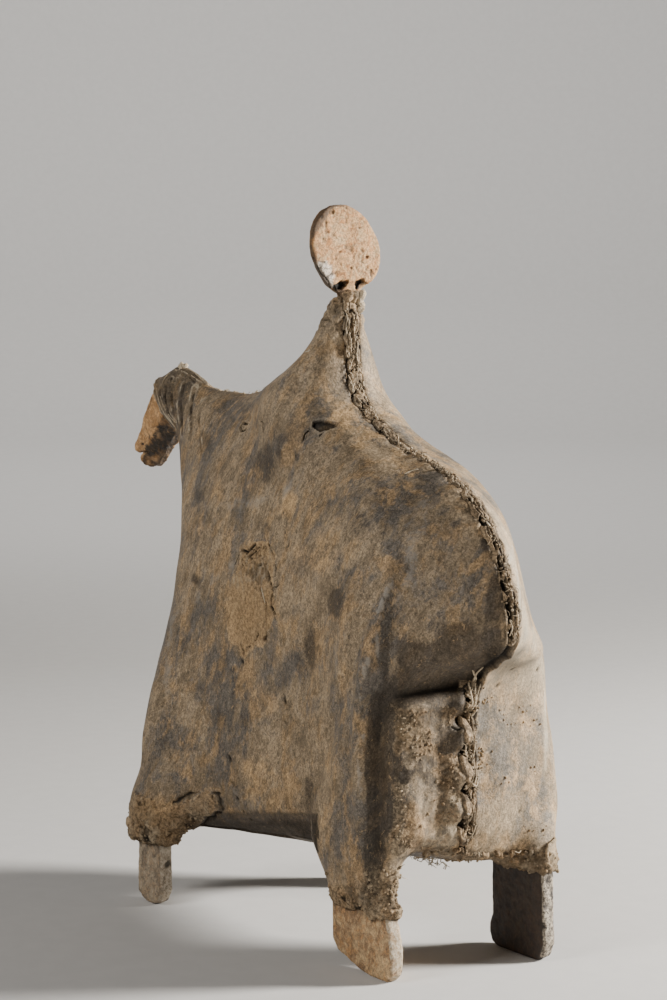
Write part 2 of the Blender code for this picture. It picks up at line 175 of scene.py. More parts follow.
def scramble(cells, salt):
    """Mixed whole numbers, one for each cell of a grid."""
    h = (cells[:, 0] * 73856093 ^ cells[:, 1] * 19349663 ^ cells[:, 2] * 83492791 ^ salt) & 0x7FFFFFFF
    return (h ^ (h >> 13)) * 1274126177 & 0x7FFFFFFF


def lumps(co, size, seed=0, stretch=(1.0, 1.0, 1.0)):
    """Smooth noise from -1 to 1 with blobs of a given size."""
    p = co / (size * np.array(stretch)) + seed * 13.7
    base = np.floor(p).astype(np.int64)
    f = p - base
    f = f * f * f * (f * (f * 6.0 - 15.0) + 10.0)
    total = np.zeros(len(co))
    for corner in range(8):
        step = np.array([corner & 1, corner >> 1 & 1, corner >> 2 & 1])
        h = scramble(base + step, seed * 2654435761)
        h = (h ^ (h >> 16)) & 0xFFFF
        weight = np.prod(np.where(step == 1, f, 1.0 - f), axis=1)
        total += weight * (h / 32767.5 - 1.0)
    return total


def crags(co, size, seed, octaves=2, stretch=(1.0, 1.0, 1.0)):
    """Lumps of several sizes, from -1 to 1."""
    total = np.zeros(len(co))
    for k in range(octaves):
        total += lumps(co, size / 2.0 ** k, seed + 7 * k, stretch) / 2.0 ** k
    return total / (2.0 - 0.5 ** (octaves - 1))


def patchy(co, base, gain, size, seed, octaves=2):
    """A share from 0 to 1 that changes from place to place."""
    return unit(base + gain * crags(co, size, seed, octaves))


def pebbles(co, size, seed=0, stretch=(1.0, 1.0, 1.0)):
    """How far the nearest and the next scattered centre are, in sizes."""
    p = co / (size * np.array(stretch)) + seed * 5.31
    base = np.floor(p).astype(np.int64)
    near = np.full(len(co), 9.0)
    second = np.full(len(co), 9.0)
    for k in range(27):
        cell = base + np.array([k % 3 - 1, k // 3 % 3 - 1, k // 9 - 1])
        h = scramble(cell, (seed * 97 + 11) * 40503)
        h = (h ^ (h >> 15)) * 73244475 & 0x3FFFFFFF
        centre = np.stack([h & 1023, h >> 10 & 1023, h >> 20 & 1023], 1) / 1023.0
        d = np.linalg.norm(cell + centre - p, axis=1)
        closer = d < near
        second = np.where(closer, near, np.minimum(second, d))
        near = np.where(closer, d, near)
    return near, second


def from_line(co, line):
    """Distance of each point from a line through points, and the share of the way along it."""
    best = np.full(len(co), 1e9)
    along = np.zeros(len(co))
    lengths = [(b - a).length for a, b in zip(line, line[1:])]
    whole = max(1e-9, sum(lengths))
    gone = 0.0
    for a, b, size in zip(line, line[1:], lengths):
        start = np.array(a)
        way = np.array(b) - start
        t = unit((co - start) @ way / max(1e-12, way @ way))
        d = np.linalg.norm(co - start - t[:, None] * way, axis=1)
        near = d < best
        best[near] = d[near]
        along[near] = (gone + t[near] * size) / whole
        gone += size
    return best, along


def smooth_line(points, steps):
    """Catmull-Rom line through points, as vectors."""
    points = [Vector(p) for p in points]
    last = len(points) - 1
    out = []
    for k in range(steps):
        t = last * k / (steps - 1)
        i = min(last - 1, int(t))
        u = t - i
        a = points[max(0, i - 1)]
        b = points[i]
        c = points[i + 1]
        d = points[min(last, i + 2)]
        m = 0.5 * (c - a)
        n = 0.5 * (d - b)
        out.append(((2 * b - 2 * c + m + n) * u + (3 * c - 3 * b - 2 * m - n)) * u * u + m * u + b)
    return out


def even_line(points, pitch):
    """The same line at even steps."""
    rough = smooth_line(points, 12 * len(points))
    lengths = [0.0]
    for a, b in zip(rough, rough[1:]):
        lengths.append(lengths[-1] + (b - a).length)
    count = max(2, int(round(lengths[-1] / pitch)) + 1)
    out = []
    j = 0
    for k in range(count):
        goal = lengths[-1] * k / (count - 1)
        while j < len(rough) - 2 and lengths[j + 1] < goal:
            j += 1
        share = (goal - lengths[j]) / max(1e-9, lengths[j + 1] - lengths[j])
        out.append(rough[j].lerp(rough[j + 1], min(1.0, share)))
    return out


def sweep(bm, rows):
    """A closed body through rings of points with equal counts."""
    rings = [[bm.verts.new(p) for p in row] for row in rows]
    count = len(rings[0])
    for low, high in zip(rings, rings[1:]):
        for k in range(count):
            n = (k + 1) % count
            bm.faces.new((low[k], low[n], high[n], high[k]))
    bm.faces.new(list(reversed(rings[0])))
    bm.faces.new(rings[-1])


def strand(bm, line, width, thick, up, sides=8, waver=0.0, rng=None):
    """A thong along a line: an oval section with tapered ends."""
    last = len(line) - 1
    rows = []
    for k, centre in enumerate(line):
        way = (line[min(last, k + 1)] - line[max(0, k - 1)]).normalized()
        out = up[k] if isinstance(up, list) else up
        across = way.cross(out)
        if across.length < 1e-6:
            across = way.orthogonal()
        across.normalize()
        out = across.cross(way)
        size = min(1.0, 0.45 + 0.35 * min(k, last - k))
        if rng is not None:
            size *= 1.0 + rng.uniform(-waver, waver)
        row = []
        for j in range(sides):
            a = 2.0 * math.pi * j / sides
            beside = across * (0.5 * width * size * math.cos(a))
            row.append(centre + beside + out * (0.5 * thick * size * math.sin(a)))
        rows.append(row)
    sweep(bm, rows)


def refine(obj, near, *more):
    """Cut the faces near some places into smaller ones."""
    bm = bmesh.new()
    bm.from_mesh(obj.data)
    close = near(np.array([v.co for v in bm.verts]), np.array([v.normal for v in bm.verts]), *more)
    edges = [e for e in bm.edges if close[e.verts[0].index] and close[e.verts[1].index]]
    bmesh.ops.subdivide_edges(bm, edges=edges, cuts=1, use_grid_fill=True)
    bmesh.ops.triangulate(bm, faces=[f for f in bm.faces if len(f.verts) > 4])
    bm.to_mesh(obj.data)
    bm.free()
    obj.data.shade_smooth()


# Materials

class Finish:
    """A material built node by node."""

    def __init__(self, name, roughness):
        self.mat = bpy.data.materials.new(name)
        self.mat.use_nodes = True
        self.tree = self.mat.node_tree
        self.shader = self.tree.nodes["Principled BSDF"]
        self.shader.inputs["Roughness"].default_value = roughness
        self.place = self.tree.nodes.new("ShaderNodeTexCoord").outputs["Object"]

    def link(self, out, into):
        self.tree.links.new(out, into)

    def node(self, kind, inputs=(), **settings):
        made = self.tree.nodes.new("ShaderNode" + kind)
        for key, value in settings.items():
            setattr(made, key, value)
        for key, value in dict(inputs).items():
            socket = made.inputs[key]
            if isinstance(value, bpy.types.NodeSocket):
                self.link(value, socket)
            else:
                socket.default_value = value
        return made

    def stretched(self, scale):
        return self.node("Mapping", {"Vector": self.place, "Scale": scale}).outputs["Vector"]

    def noise(self, scale, detail=3.0, rough=0.5, stretch=None, warp=0.0):
        where = self.place if stretch is None else self.stretched(stretch)
        inputs = {"Vector": where, "Scale": scale, "Detail": detail, "Roughness": rough, "Distortion": warp}
        return self.node("TexNoise", inputs).outputs["Fac"]

    def span(self, value, low, high, to_low=0.0, to_high=1.0):
        inputs = {"Value": value, "From Min": low, "From Max": high, "To Min": to_low, "To Max": to_high}
        return self.node("MapRange", inputs, interpolation_type="SMOOTHSTEP").outputs["Result"]

    def marked(self, name):
        return self.node("Attribute", attribute_name=name).outputs["Fac"]

    def math(self, operation, a, b, clamp=False):
        made = self.node("Math", operation=operation, use_clamp=clamp)
        for socket, value in zip(made.inputs, (a, b)):
            if isinstance(value, bpy.types.NodeSocket):
                self.link(value, socket)
            else:
                socket.default_value = value
        return made.outputs[0]

    def times(self, a, b):
        return self.math("MULTIPLY", a, b)

    def tint(self, colour, value, low, high, dim, strong):
        """A colour made darker or lighter where a pattern is low or high."""
        return self.mix(1.0, colour, self.span(value, low, high, dim, strong), "MULTIPLY")

    def mix(self, share, a, b, blend="MIX"):
        made = self.tree.nodes.new("ShaderNodeMix")
        made.data_type = "RGBA"
        made.blend_type = blend
        for socket, value in zip((made.inputs[0], made.inputs[6], made.inputs[7]), (share, a, b)):
            if isinstance(value, bpy.types.NodeSocket):
                self.link(value, socket)
            elif isinstance(value, (int, float)):
                socket.default_value = value
            else:
                socket.default_value = (*value, 1.0)
        return made.outputs[2]

    def bump(self, height, strength, distance, below=None):
        inputs = {"Height": height, "Strength": strength, "Distance": distance}
        if below is not None:
            inputs["Normal"] = below
        return self.node("Bump", inputs).outputs["Normal"]

    def done(self, colour, normal, rough=None):
        self.link(colour, self.shader.inputs["Base Color"])
        self.link(normal, self.shader.inputs["Normal"])
        if rough is not None:
            self.link(rough, self.shader.inputs["Roughness"])
        return self.mat


def shade(colour, factor):
    return tuple(min(1.0, c * factor) for c in colour)


# Colours of dirt and wear, and of painted shade, painted sheen and a painted highlight
# soot, which also serves as painted shade
SOOT_AND_SHADE = (0.052, 0.040, 0.028)
SOOTY_SHADED_EARTH = (0.060, 0.045, 0.030)
# painted sheen: the grey of a waxy glint
SHEEN_GREY = (0.360, 0.325, 0.275)
EARTH_PALE = (0.470, 0.365, 0.240)
EARTH_BROWN = (0.400, 0.270, 0.150)
SAND = (0.56, 0.365, 0.185)
RUST = (0.45, 0.195, 0.062)
BARE_WOOD = (0.66, 0.47, 0.27)
WOOD_PIT = (0.10, 0.055, 0.03)
CHALK_GREY = (0.16, 0.13, 0.10)
CHALK_WHITE = (0.78, 0.72, 0.62)
RIM_DARK = (0.070, 0.045, 0.028)
# painted shade in the holes, pits and cracks of the disc
DEEP_HOLE = (0.008, 0.005, 0.003)
CHEEK_LIGHT = (0.62, 0.37, 0.17)
# painted shade on the jaw's underside
JAW_BLACK = (0.016, 0.013, 0.006)
# painted highlight along the jaw's edge
JAW_PALE = (0.62, 0.46, 0.31)
# painted shade in the face's cuts, pits and scratches
JAW_HOLE = (0.010, 0.007, 0.005)
EDGE_PALE = (0.56, 0.48, 0.37)

# Colours of the planks: dark, light and warm
PLANK_GREY = ((0.19, 0.145, 0.097), (0.37, 0.295, 0.205), (0.33, 0.225, 0.13))
PLANK_ORANGE = ((0.25, 0.150, 0.075), (0.50, 0.345, 0.185), (0.46, 0.25, 0.10))
# The right hind plank: painted shade, nearly black, as it stands in the body's shadow
PLANK_DARK = ((0.014, 0.008, 0.005), (0.036, 0.022, 0.012), (0.040, 0.020, 0.010))

# The hide's grain runs with its pull, leaning back from the legs to the rider
PULL_LEAN_DEG = 18.0


def hide_finish(look):
    """Tanned hide: tan and ochre under grey smoke, short strokes along the pull, and a waxy sheen, with
    painted shade, sheen and highlights from its marks.
    """
    f = Finish("tanned_hide", 0.45)
    f.shader.inputs["Specular IOR Level"].default_value = 0.24
    tan = tuple(look.hide_tan)
    grey = tuple(look.hide_grey)
    ochre = tuple(look.hide_ochre)
    pale = tuple(look.hide_pale)
    lean = {"Vector": f.place, "Angle": math.radians(PULL_LEAN_DEG)}
    f.place = f.node("VectorRotate", lean, rotation_type="X_AXIS").outputs[0]
    clouds = f.noise(1.0, 4.0, 0.60, stretch=(27.0, 27.0, 13.0), warp=0.6)
    mottle = f.noise(1.0, 6.0, 0.74, stretch=(92.0, 92.0, 58.0), warp=0.5)
    warm = f.noise(1.0, 6.0, 0.70, stretch=(60.0, 60.0, 32.0), warp=0.3)
    strokes = f.noise(1.0, 5.0, 0.80, stretch=(520.0, 520.0, 340.0), warp=0.9)
    grain = f.noise(850.0, 4.0, 0.75)
    flecks = f.noise(1.0, 5.0, 0.72, stretch=(300.0, 300.0, 200.0), warp=0.8)
    crumbs = f.noise(400.0, 6.0, 0.80)

    def ragged(name, low=0.26, high=0.60):
        """A mark whose edges are broken up by the mottling."""
        broken = f.times(f.math("SUBTRACT", mottle, 0.5), 1.2)
        return f.span(f.math("ADD", f.marked(name), broken), low, high)

    tone = f.math("ADD", f.times(clouds, 0.55), f.times(mottle, 0.45))
    colour = f.mix(f.span(tone, 0.46, 0.56), tan, grey)
    colour = f.mix(f.span(warm, 0.49, 0.62, 0.0, 0.8), colour, ochre)
    colour = f.mix(f.times(ragged("bare"), 0.85), colour, shade(ochre, 1.15))
    # soot, and painted shade where the same mark lies in shadow
    colour = f.mix(f.times(ragged("soot_and_shade"), 0.82), colour, SOOT_AND_SHADE)
    wear_and_glint = f.times(f.span(mottle, 0.32, 0.68, 0.58, 1.36), f.span(strokes, 0.34, 0.66, 0.52, 1.50))
    wear_and_glint = f.times(wear_and_glint, f.span(grain, 0.32, 0.68, 0.70, 1.32))
    colour = f.mix(1.0, colour, wear_and_glint, "MULTIPLY")
    colour = f.mix(f.span(flecks, 0.60, 0.68, 0.0, 0.60), colour, shade(ochre, 1.55))
    colour = f.mix(f.span(flecks, 0.33, 0.40, 0.60, 0.0), colour, shade(grey, 0.40))
    # rubbed places get a painted sheen in grey
    colour = f.mix(f.times(ragged("wear_and_sheen"), 0.55), colour, SHEEN_GREY)
    earth = f.mix(f.span(warm, 0.40, 0.60), EARTH_PALE, EARTH_BROWN)
    earth = f.tint(earth, crumbs, 0.36, 0.64, 0.30, 1.45)
    warm_earth = f.mix(f.span(crumbs, 0.42, 0.58), shade(ochre, 0.75), shade(ochre, 1.7))
    earth = f.mix(f.times(ragged("bare"), 0.8), earth, warm_earth)
    # earth under soot, and under painted shade
    earth = f.mix(f.times(ragged("soot_and_shade"), 0.55), earth, SOOTY_SHADED_EARTH)
    # thin earth lies in separate crumbs, thick earth covers all
    crumbled = f.times(f.marked("crust"), f.math("SUBTRACT", f.times(crumbs, 3.4), 0.7))
    colour = f.mix(f.span(crumbled, 0.22, 0.50, 0.0, 0.95), colour, earth)
    raw = f.mix(f.span(grain, 0.35, 0.65), shade(pale, 0.6), pale)
    # raw edges and fibres are pale; the same mark paints highlights
    colour = f.mix(f.span(f.marked("pale"), 0.0, 1.0, 0.0, 0.9), colour, raw)
    # the dark mark: painted shade in cracks, holes, gaps and hollows, nearly black
    colour = f.mix(f.span(f.marked("dark"), 0.0, 1.0, 0.0, 0.97), colour, shade(grey, 0.10))
    rough = f.span(tone, 0.38, 0.64, 0.58, 0.44)
    for value, low, high, less, more in (
        (grain, 0.3, 0.7, -0.05, 0.10), (f.marked("wear_and_sheen"), 0.1, 0.8, 0.0, -0.24),
        (f.marked("crust"), 0.0, 1.0, 0.0, 0.5), (f.marked("dark"), 0.0, 1.0, 0.0, 0.5),
    ):
        rough = f.math("ADD", rough, f.span(value, low, high, less, more), clamp=True)
    normal = f.bump(mottle, 0.35, 0.0020)
    normal = f.bump(strokes, 0.35, 0.0007, normal)
    normal = f.bump(grain, 0.35, 0.0005, normal)
    rubble = f.times(crumbs, f.math("ADD", f.marked("crust"), 0.05))
    return f.done(colour, f.bump(rubble, 1.0, 0.0030, normal), rough)


def lacing_finish(look):
    """Thong and raw hide edge: brown suede with pale frayed edges, and painted shade in its gaps."""
    f = Finish("raw_hide_lacing", 0.75)
    f.shader.inputs["Specular IOR Level"].default_value = 0.30
    base = tuple(look.lacing_brown)
    pale = tuple(look.hide_pale)
    fuzz = f.noise(850.0, 5.0, 0.80)
    patches = f.noise(130.0, 5.0, 0.68)
    colour = f.mix(f.span(patches, 0.42, 0.58), shade(base, 0.50), shade(base, 1.40))
    colour = f.tint(colour, fuzz, 0.34, 0.66, 0.35, 1.60)
    colour = f.mix(f.marked("pale"), colour, f.mix(f.span(fuzz, 0.34, 0.62), shade(base, 1.2), pale))
    # painted shade in the gaps, holes and under the folds
    colour = f.mix(f.marked("dark"), colour, shade(base, 0.05))
    normal = f.bump(fuzz, 0.7, 0.0010)
    normal = f.bump(patches, 0.4, 0.003, normal)
    return f.done(colour, normal)


def disc_finish(look):
    """Pale weathered wood: sandy orange with pits, chalky streaks, a darker rim, and painted shade in its
    holes, pits and cracks.
    """
    f = Finish("pale_weathered_wood", 0.75)
    pale = tuple(look.disc_pale)
    patches = f.noise(1.0, 6.0, 0.72, stretch=(100.0, 100.0, 100.0), warp=0.8)
    rusty = f.noise(1.0, 6.0, 0.75, stretch=(170.0, 170.0, 170.0), warp=1.2)
    grit = f.noise(1.0, 6.0, 0.80, stretch=(640.0, 640.0, 640.0), warp=0.6)
    colour = f.mix(f.span(patches, 0.42, 0.60), pale, SAND)
    colour = f.mix(f.span(rusty, 0.47, 0.60, 0.0, 0.85), colour, RUST)
    colour = f.mix(f.span(rusty, 0.34, 0.45, 0.6, 0.0), colour, BARE_WOOD)
    colour = f.tint(colour, grit, 0.36, 0.62, 0.45, 1.25)
    colour = f.mix(f.span(grit, 0.35, 0.42, 0.70, 0.0), colour, WOOD_PIT)
    chalk = f.mix(f.span(grit, 0.40, 0.56), CHALK_GREY, CHALK_WHITE)
    colour = f.mix(f.span(f.marked("chalk"), 0.15, 0.7, 0.0, 0.85), colour, chalk)
    colour = f.mix(f.marked("rim"), colour, RIM_DARK)
    # painted shade in the holes, pits and cracks
    colour = f.mix(f.marked("dark"), colour, DEEP_HOLE)
    normal = f.bump(grit, 0.8, 0.0011)
    normal = f.bump(rusty, 0.6, 0.0022, normal)
    return f.done(colour, normal)


def face_finish(look):
    """Worn orange wood of the horse's face, with painted shade in black along the jaw and a painted
    highlight on the jaw's edge.
    """
    f = Finish("worn_orange_wood", 0.58)
    base = tuple(look.face_orange)
    patches = f.noise(110.0, 6.0, 0.70)
    grit = f.noise(650.0, 6.0, 0.78)
    colour = f.mix(f.span(patches, 0.42, 0.60), shade(base, 0.70), CHEEK_LIGHT)
    colour = f.tint(colour, grit, 0.32, 0.66, 0.55, 1.35)
    soil = f.noise(300.0, 6.0, 0.78)
    broken = f.times(f.math("SUBTRACT", soil, 0.5), 4.2)
    jaw_shade = f.span(f.math("ADD", f.marked("jaw_shade"), broken), 0.15, 0.95)
    # painted shade along the jaw, broken by the soil noise
    colour = f.mix(f.times(jaw_shade, 0.93), colour, JAW_BLACK)
    # painted highlight along the jaw's edge
    colour = f.mix(f.marked("pale"), colour, JAW_PALE)
    # painted shade in cuts, pits, scratches and on the keel
    colour = f.mix(f.marked("dark"), colour, JAW_HOLE)
    normal = f.bump(grit, 0.7, 0.0010)
    normal = f.bump(patches, 0.5, 0.0030, normal)
    return f.done(colour, normal)


def plank_finish(name, colours):
    """Weathered wood, rubbed smooth and dirty: mottled more than grained, with crusty worn edges."""
    f = Finish(name, 0.62)
    low, high, warm = colours
    patches = f.noise(1.0, 6.0, 0.72, stretch=(95.0, 95.0, 85.0), warp=0.8)
    rust = f.noise(1.0, 6.0, 0.75, stretch=(190.0, 190.0, 190.0), warp=0.6)
    flecks = f.noise(1.0, 6.0, 0.80, stretch=(560.0, 560.0, 480.0), warp=0.6)
    colour = f.mix(f.span(patches, 0.41, 0.58), low, high)
    colour = f.mix(f.span(rust, 0.49, 0.61, 0.0, 0.85), colour, warm)
    colour = f.tint(colour, flecks, 0.33, 0.66, 0.52, 1.42)
    colour = f.mix(f.span(rust, 0.34, 0.42, 0.55, 0.0), colour, shade(low, 0.35))
    crust = f.mix(f.span(flecks, 0.40, 0.58), shade(high, 0.7), EDGE_PALE)
    colour = f.mix(f.span(f.marked("edge"), 0.1, 0.7), colour, crust)
    # painted shade in hollows and pits and under the cuff
    colour = f.mix(f.marked("dark"), colour, shade(low, 0.08))
    normal = f.bump(patches, 0.4, 0.0025)
    normal = f.bump(flecks, 0.7, 0.0010, normal)
    return f.done(colour, normal)


# The drawn origin's place on Y, the height where the rider's neck starts, and the seams' step
ORIGIN_Y = 0.0517
NECK_FOOT = 0.4085
SEAM_STEP = 0.42

# Routes of the lacing on the median plane: Y and Z in millimetres
BACK_LINE = (
    (-2, 438), (-3, 412), (-3, 392), (3, 374), (17, 357), (39, 345), (64, 337),
    (90, 331), (113, 321), (134, 308), (147, 294), (159, 278), (168, 259),
    (174, 240), (175, 224), (168, 213), (152, 204), (139, 195), (131, 182),
    (129, 160), (129, 135), (129, 110), (127, 95), (122, 81),
)
CREST_LINE = (
    (-236, 383), (-222, 384), (-207, 380), (-195, 375), (-176, 369), (-150, 368),
    (-126, 369), (-104, 374), (-84, 382), (-64, 391),
)

# Half width of the back seam in millimetres, by the distance along it
SEAM_WIDTHS = (
    (0, 7.6), (40, 6.6), (104, 6.0), (122, 4.4), (198, 4.0), (212, 6.0), (300, 6.6), (318, 6.6),
    (362, 6.0), (374, 6.6), (464, 6.4), (474, 3.0),
)
CREST_WIDTHS = ((0, 5.4), (50, 5.0), (62, 2.4), (190, 2.4))

# Holes torn along the back seam, in millimetres: place along it and to the figure's left,
# half length, half width and depth
SEAM_HOLES = (
    (30, 1.4, 13.0, 0.9, 2.6), (25, 5.4, 1.6, 1.2, 2.2), (63, -2.6, 4.0, 1.0, 2.0),
    (80, 1.2, 5.0, 1.5, 2.6),
    (97, -1.8, 4.5, 1.3, 2.2), (108, 2.6, 3.0, 1.2, 2.0), (139, 2.4, 3.2, 0.9, 1.8),
    (171, 2.8, 4.2, 1.0, 2.0),
    (214, 3.0, 3.5, 1.2, 2.4), (230, 3.0, 4.0, 1.8, 3.2), (246, 2.0, 5.5, 1.1, 3.0),
    (262, 2.6, 6.5, 1.2, 3.2),
    (276, 3.0, 5.0, 2.0, 3.6), (292, 2.8, 7.5, 2.3, 4.2), (306, 2.0, 4.5, 1.6, 3.6),
)


def median_line(points, pitch):
    return even_line([(0.0, ORIGIN_Y + y / 1000.0, z / 1000.0) for y, z in points], pitch)


def half_width(widths, along):
    return np.interp(along, [place for place, half in widths], [half for place, half in widths])


def torn_holes(along, across, ragged):
    """How far places lie in the holes torn along the back seam, and how deep they are there."""
    inside = np.zeros(along.shape)
    depth = np.zeros(along.shape)
    for place, side, long, broad, deep in SEAM_HOLES:
        d = np.hypot((along - place) / long, (across - side) / broad) + ragged
        hole = unit((1.25 - d) / 0.45)
        inside = np.maximum(inside, hole)
        depth = np.maximum(depth, deep * hole)
    return inside, depth


def rail_frames(line):
    """Outward direction at each point of a line in the median plane."""
    last = len(line) - 1
    out = []
    for k in range(last + 1):
        way = (line[min(last, k + 1)] - line[max(0, k - 1)]).normalized()
        out.append(Vector((0.0, -way.z, way.y)))
    return out


# The hide

# Finer cells where the hide is crumpled: pixels of an outline round the place, and rounds
ZONES = (
    (((241, 540), (262, 535), (279, 548), (280, 590), (279, 620), (268, 640), (245, 662), (234, 648),
        (224, 612), (230, 570)), 2),
    (((308, 417), (336, 416), (337, 433), (300, 443), (300, 432)), 3),
    (((236, 418), (267, 417), (266, 434), (237, 440)), 2),
    (((128, 788), (222, 786), (222, 842), (128, 842)), 2),
    (((322, 862), (400, 858), (400, 914), (322, 914)), 2),
    (((400, 850), (568, 834), (570, 884), (400, 884)), 1),
    (((376, 664), (500, 640), (484, 720), (490, 860), (386, 860), (376, 700)), 1),
    (((448, 700), (486, 690), (488, 862), (446, 862)), 2),
    (((154, 366), (196, 372), (206, 392), (184, 440), (156, 434)), 2),
    (((196, 806), (312, 810), (312, 840), (196, 836)), 1),
)

# Ridges and hollows: pixels along each, how wide it spreads and how far it rises
RELIEF = (
    (((394, 570), (384, 606), (370, 655), (361, 700), (359, 760), (361, 830)), 0.0050, 0.0054),
    (((388, 590), (379, 614), (366, 660)), 0.0022, 0.0009),
    (((350, 560), (330, 600), (312, 640), (308, 680)), 0.0075, -0.0024),
    (((342, 700), (326, 745), (312, 790), (309, 825)), 0.0060, -0.0026),
    (((345, 640), (335, 690), (326, 735)), 0.0080, 0.0012),
    (((347, 720), (338, 770), (335, 815)), 0.0085, 0.0018),
    (((392, 640), (384, 690), (378, 740), (377, 800), (379, 850)), 0.0082, -0.0072),
    (((400, 712), (396, 760), (398, 820), (402, 850)), 0.0100, 0.0024),
    (((421, 736), (413, 790), (418, 830)), 0.0060, 0.0018),
    (((438, 730), (442, 780), (436, 830)), 0.0050, -0.0018),
    (((410, 715), (430, 725), (450, 722)), 0.0040, 0.0012),
    (((398, 400), (420, 440), (452, 486), (478, 540)), 0.0090, -0.0010),
    (((362, 440), (384, 450), (410, 458)), 0.0060, -0.0012),
    (((240, 440), (262, 425), (292, 400)), 0.0050, -0.0010),
    (((205, 392), (198, 420), (200, 450)), 0.0036, -0.0012),
    (((216, 394), (250, 392), (290, 376)), 0.0045, -0.0009),
    (((169, 381), (164, 396), (168, 414)), 0.0015, -0.0034),
    (((175, 380), (171, 398), (175, 422)), 0.0014, -0.0032),
    (((184, 384), (180, 404), (182, 434)), 0.0016, -0.0030),
    (((194, 390), (191, 410), (192, 442)), 0.0020, -0.0018),
    (((179, 382), (175, 400), (179, 426)), 0.0013, 0.0016),
    (((167, 372), (161, 386), (158, 396)), 0.0017, 0.0018),
    (((172, 376), (168, 392), (171, 410)), 0.0011, 0.0012),
    (((212, 770), (226, 800), (240, 822)), 0.0060, -0.0016),
    (((499, 690), (497, 750), (500, 820)), 0.0100, 0.0012),
    (((532, 700), (538, 760), (545, 830)), 0.0080, -0.0010),
    (((507, 528), (513, 560), (518, 590), (519, 620)), 0.0038, 0.0018),
    (((506, 668), (518, 661), (530, 654), (540, 648)), 0.0070, 0.0030),
    (((330, 318), (322, 338), (318, 352)), 0.0030, -0.0010),
    (((342, 322), (338, 345), (340, 372)), 0.0030, -0.0008),
)

# The rump's lower edge, left of the seam, which hangs over the rear panel
LEDGE = (
    (376, 703), (388, 698), (405, 697), (430, 693), (455, 688), (470, 683), (479, 676),
    (488, 664), (505, 655), (519, 651),
)

# The hollow between the thigh and the rear panel, which lies in shadow
VALLEY = ((392, 690), (380, 730), (376, 790), (378, 850), (370, 900))

# Lower seam: the holes at its left, where the strands go in, darkened as painted shade
LOWER_HOLES = ((477, 706), (464, 721), (466, 756), (468, 793), (464, 828), (462, 856))

# Folds of the hide on the horse's head, and how wide the dirt lies in them
HEAD_FOLDS = (
    (((171, 379), (165, 396), (168, 412), (176, 426)), 0.0013),
    (((177, 380), (172, 398), (176, 420)), 0.0011),
    (((185, 384), (180, 404), (183, 434)), 0.0014), (((195, 388), (191, 410), (192, 446)), 0.0016),
    (((182, 374), (190, 378), (199, 386)), 0.0010), (((205, 396), (199, 420), (201, 452)), 0.0012),
    (((162, 384), (160, 394), (163, 404)), 0.0010),
)

# Fine cracks and slits: pixels along each, half width and depth
CRACKS = (
    (((229, 690), (228, 720), (228, 746), (231, 776), (236, 795), (243, 811), (253, 821)), 0.00045, 0.0012),
    (((285, 693), (284, 712), (286, 731)), 0.0004, 0.0008),
    (((303, 440), (305, 434), (308, 431)), 0.0005, 0.0018),
    (((314, 439), (318, 436), (322, 434)), 0.0004, 0.0009),
    (((240, 438), (242, 432), (240, 427), (243, 423)), 0.0007, 0.0020),
    (((243, 423), (248, 424), (246, 429), (242, 432)), 0.0008, 0.0020),
    (((260, 421), (263, 423), (262, 427), (264, 431)), 0.0005, 0.0018),
    (((452, 727), (457, 730), (461, 729)), 0.0005, 0.0012),
    (((535, 667), (538, 669), (539, 673)), 0.0008, 0.0018),
    (((512, 668), (516, 673)), 0.0004, 0.0010),
    (((509, 683), (506, 688)), 0.0004, 0.0009),
    (((493, 683), (491, 688)), 0.0004, 0.0010),
    (((497, 681), (499, 687)), 0.0004, 0.0010),
    (((486, 676), (484, 681)), 0.0004, 0.0009),
    (((518, 800), (522, 805), (520, 812)), 0.0005, 0.0012),
)

# The peeled place on the flank: its outline, then the cracks beside it
PEELED = (
    (241, 545), (250, 538), (262, 537), (272, 541), (277, 556), (276, 585), (277, 615), (270, 634),
    (256, 650), (245, 662), (236, 648), (226, 622), (223, 596), (230, 570),
)
PEELED_CRACKS = (
    (((268, 572), (270, 583), (273, 590), (271, 598), (271, 606), (275, 614), (277, 621)), 0.00085, 0.0026),
    (((271, 588), (276, 587), (281, 583)), 0.00045, 0.0010),
    (((266, 603), (265, 612), (266, 624), (266, 636), (263, 640)), 0.00085, 0.0028),
    (((270, 606), (274, 616), (275, 619)), 0.0005, 0.0014),
    (((258, 626), (258, 634), (255, 641)), 0.00065, 0.0018),
    (((240, 644), (243, 652), (242, 662)), 0.00065, 0.0018),
    (((246, 648), (250, 646)), 0.0004, 0.0010),
    (((242, 550), (247, 552), (251, 548), (255, 544)), 0.0010, 0.0022),
    (((249, 556), (254, 553), (259, 547)), 0.0006, 0.0015),
    (((268, 543), (270, 549), (273, 554)), 0.0007, 0.0018),
    (((273, 560), (276, 568), (275, 576)), 0.0006, 0.0014),
    (((234, 566), (238, 558), (239, 553)), 0.0004, 0.0009),
    (((259, 588), (262, 596), (263, 603)), 0.0008, 0.0018),
    (((222, 637), (221, 650)), 0.0003, 0.0008),
)

# Places rubbed smooth, with a painted sheen in grey on them: pixels along each, how wide and how strong
WEAR_AND_SHEEN_LINES = (
    (((389, 586), (383, 600), (379, 612)), 0.0018, 0.9), (((379, 628), (377, 645), (376, 660)), 0.0022,
        0.6),
    (((367, 659), (364, 668), (362, 680)), 0.0022, 0.6), (((361, 692), (363, 705), (365, 716)), 0.0017,
        0.8),
    (((362, 735), (360, 755), (360, 790), (361, 824)), 0.0017, 0.8),
    (((424, 505), (415, 545), (404, 590)), 0.0130, 0.35), (((333, 630), (335, 655), (338, 688)), 0.0060,
        0.35),
    (((300, 480), (270, 500), (230, 505)), 0.0080, 0.4), (((160, 560), (172, 620), (166, 690)), 0.0070,
        0.4),
)

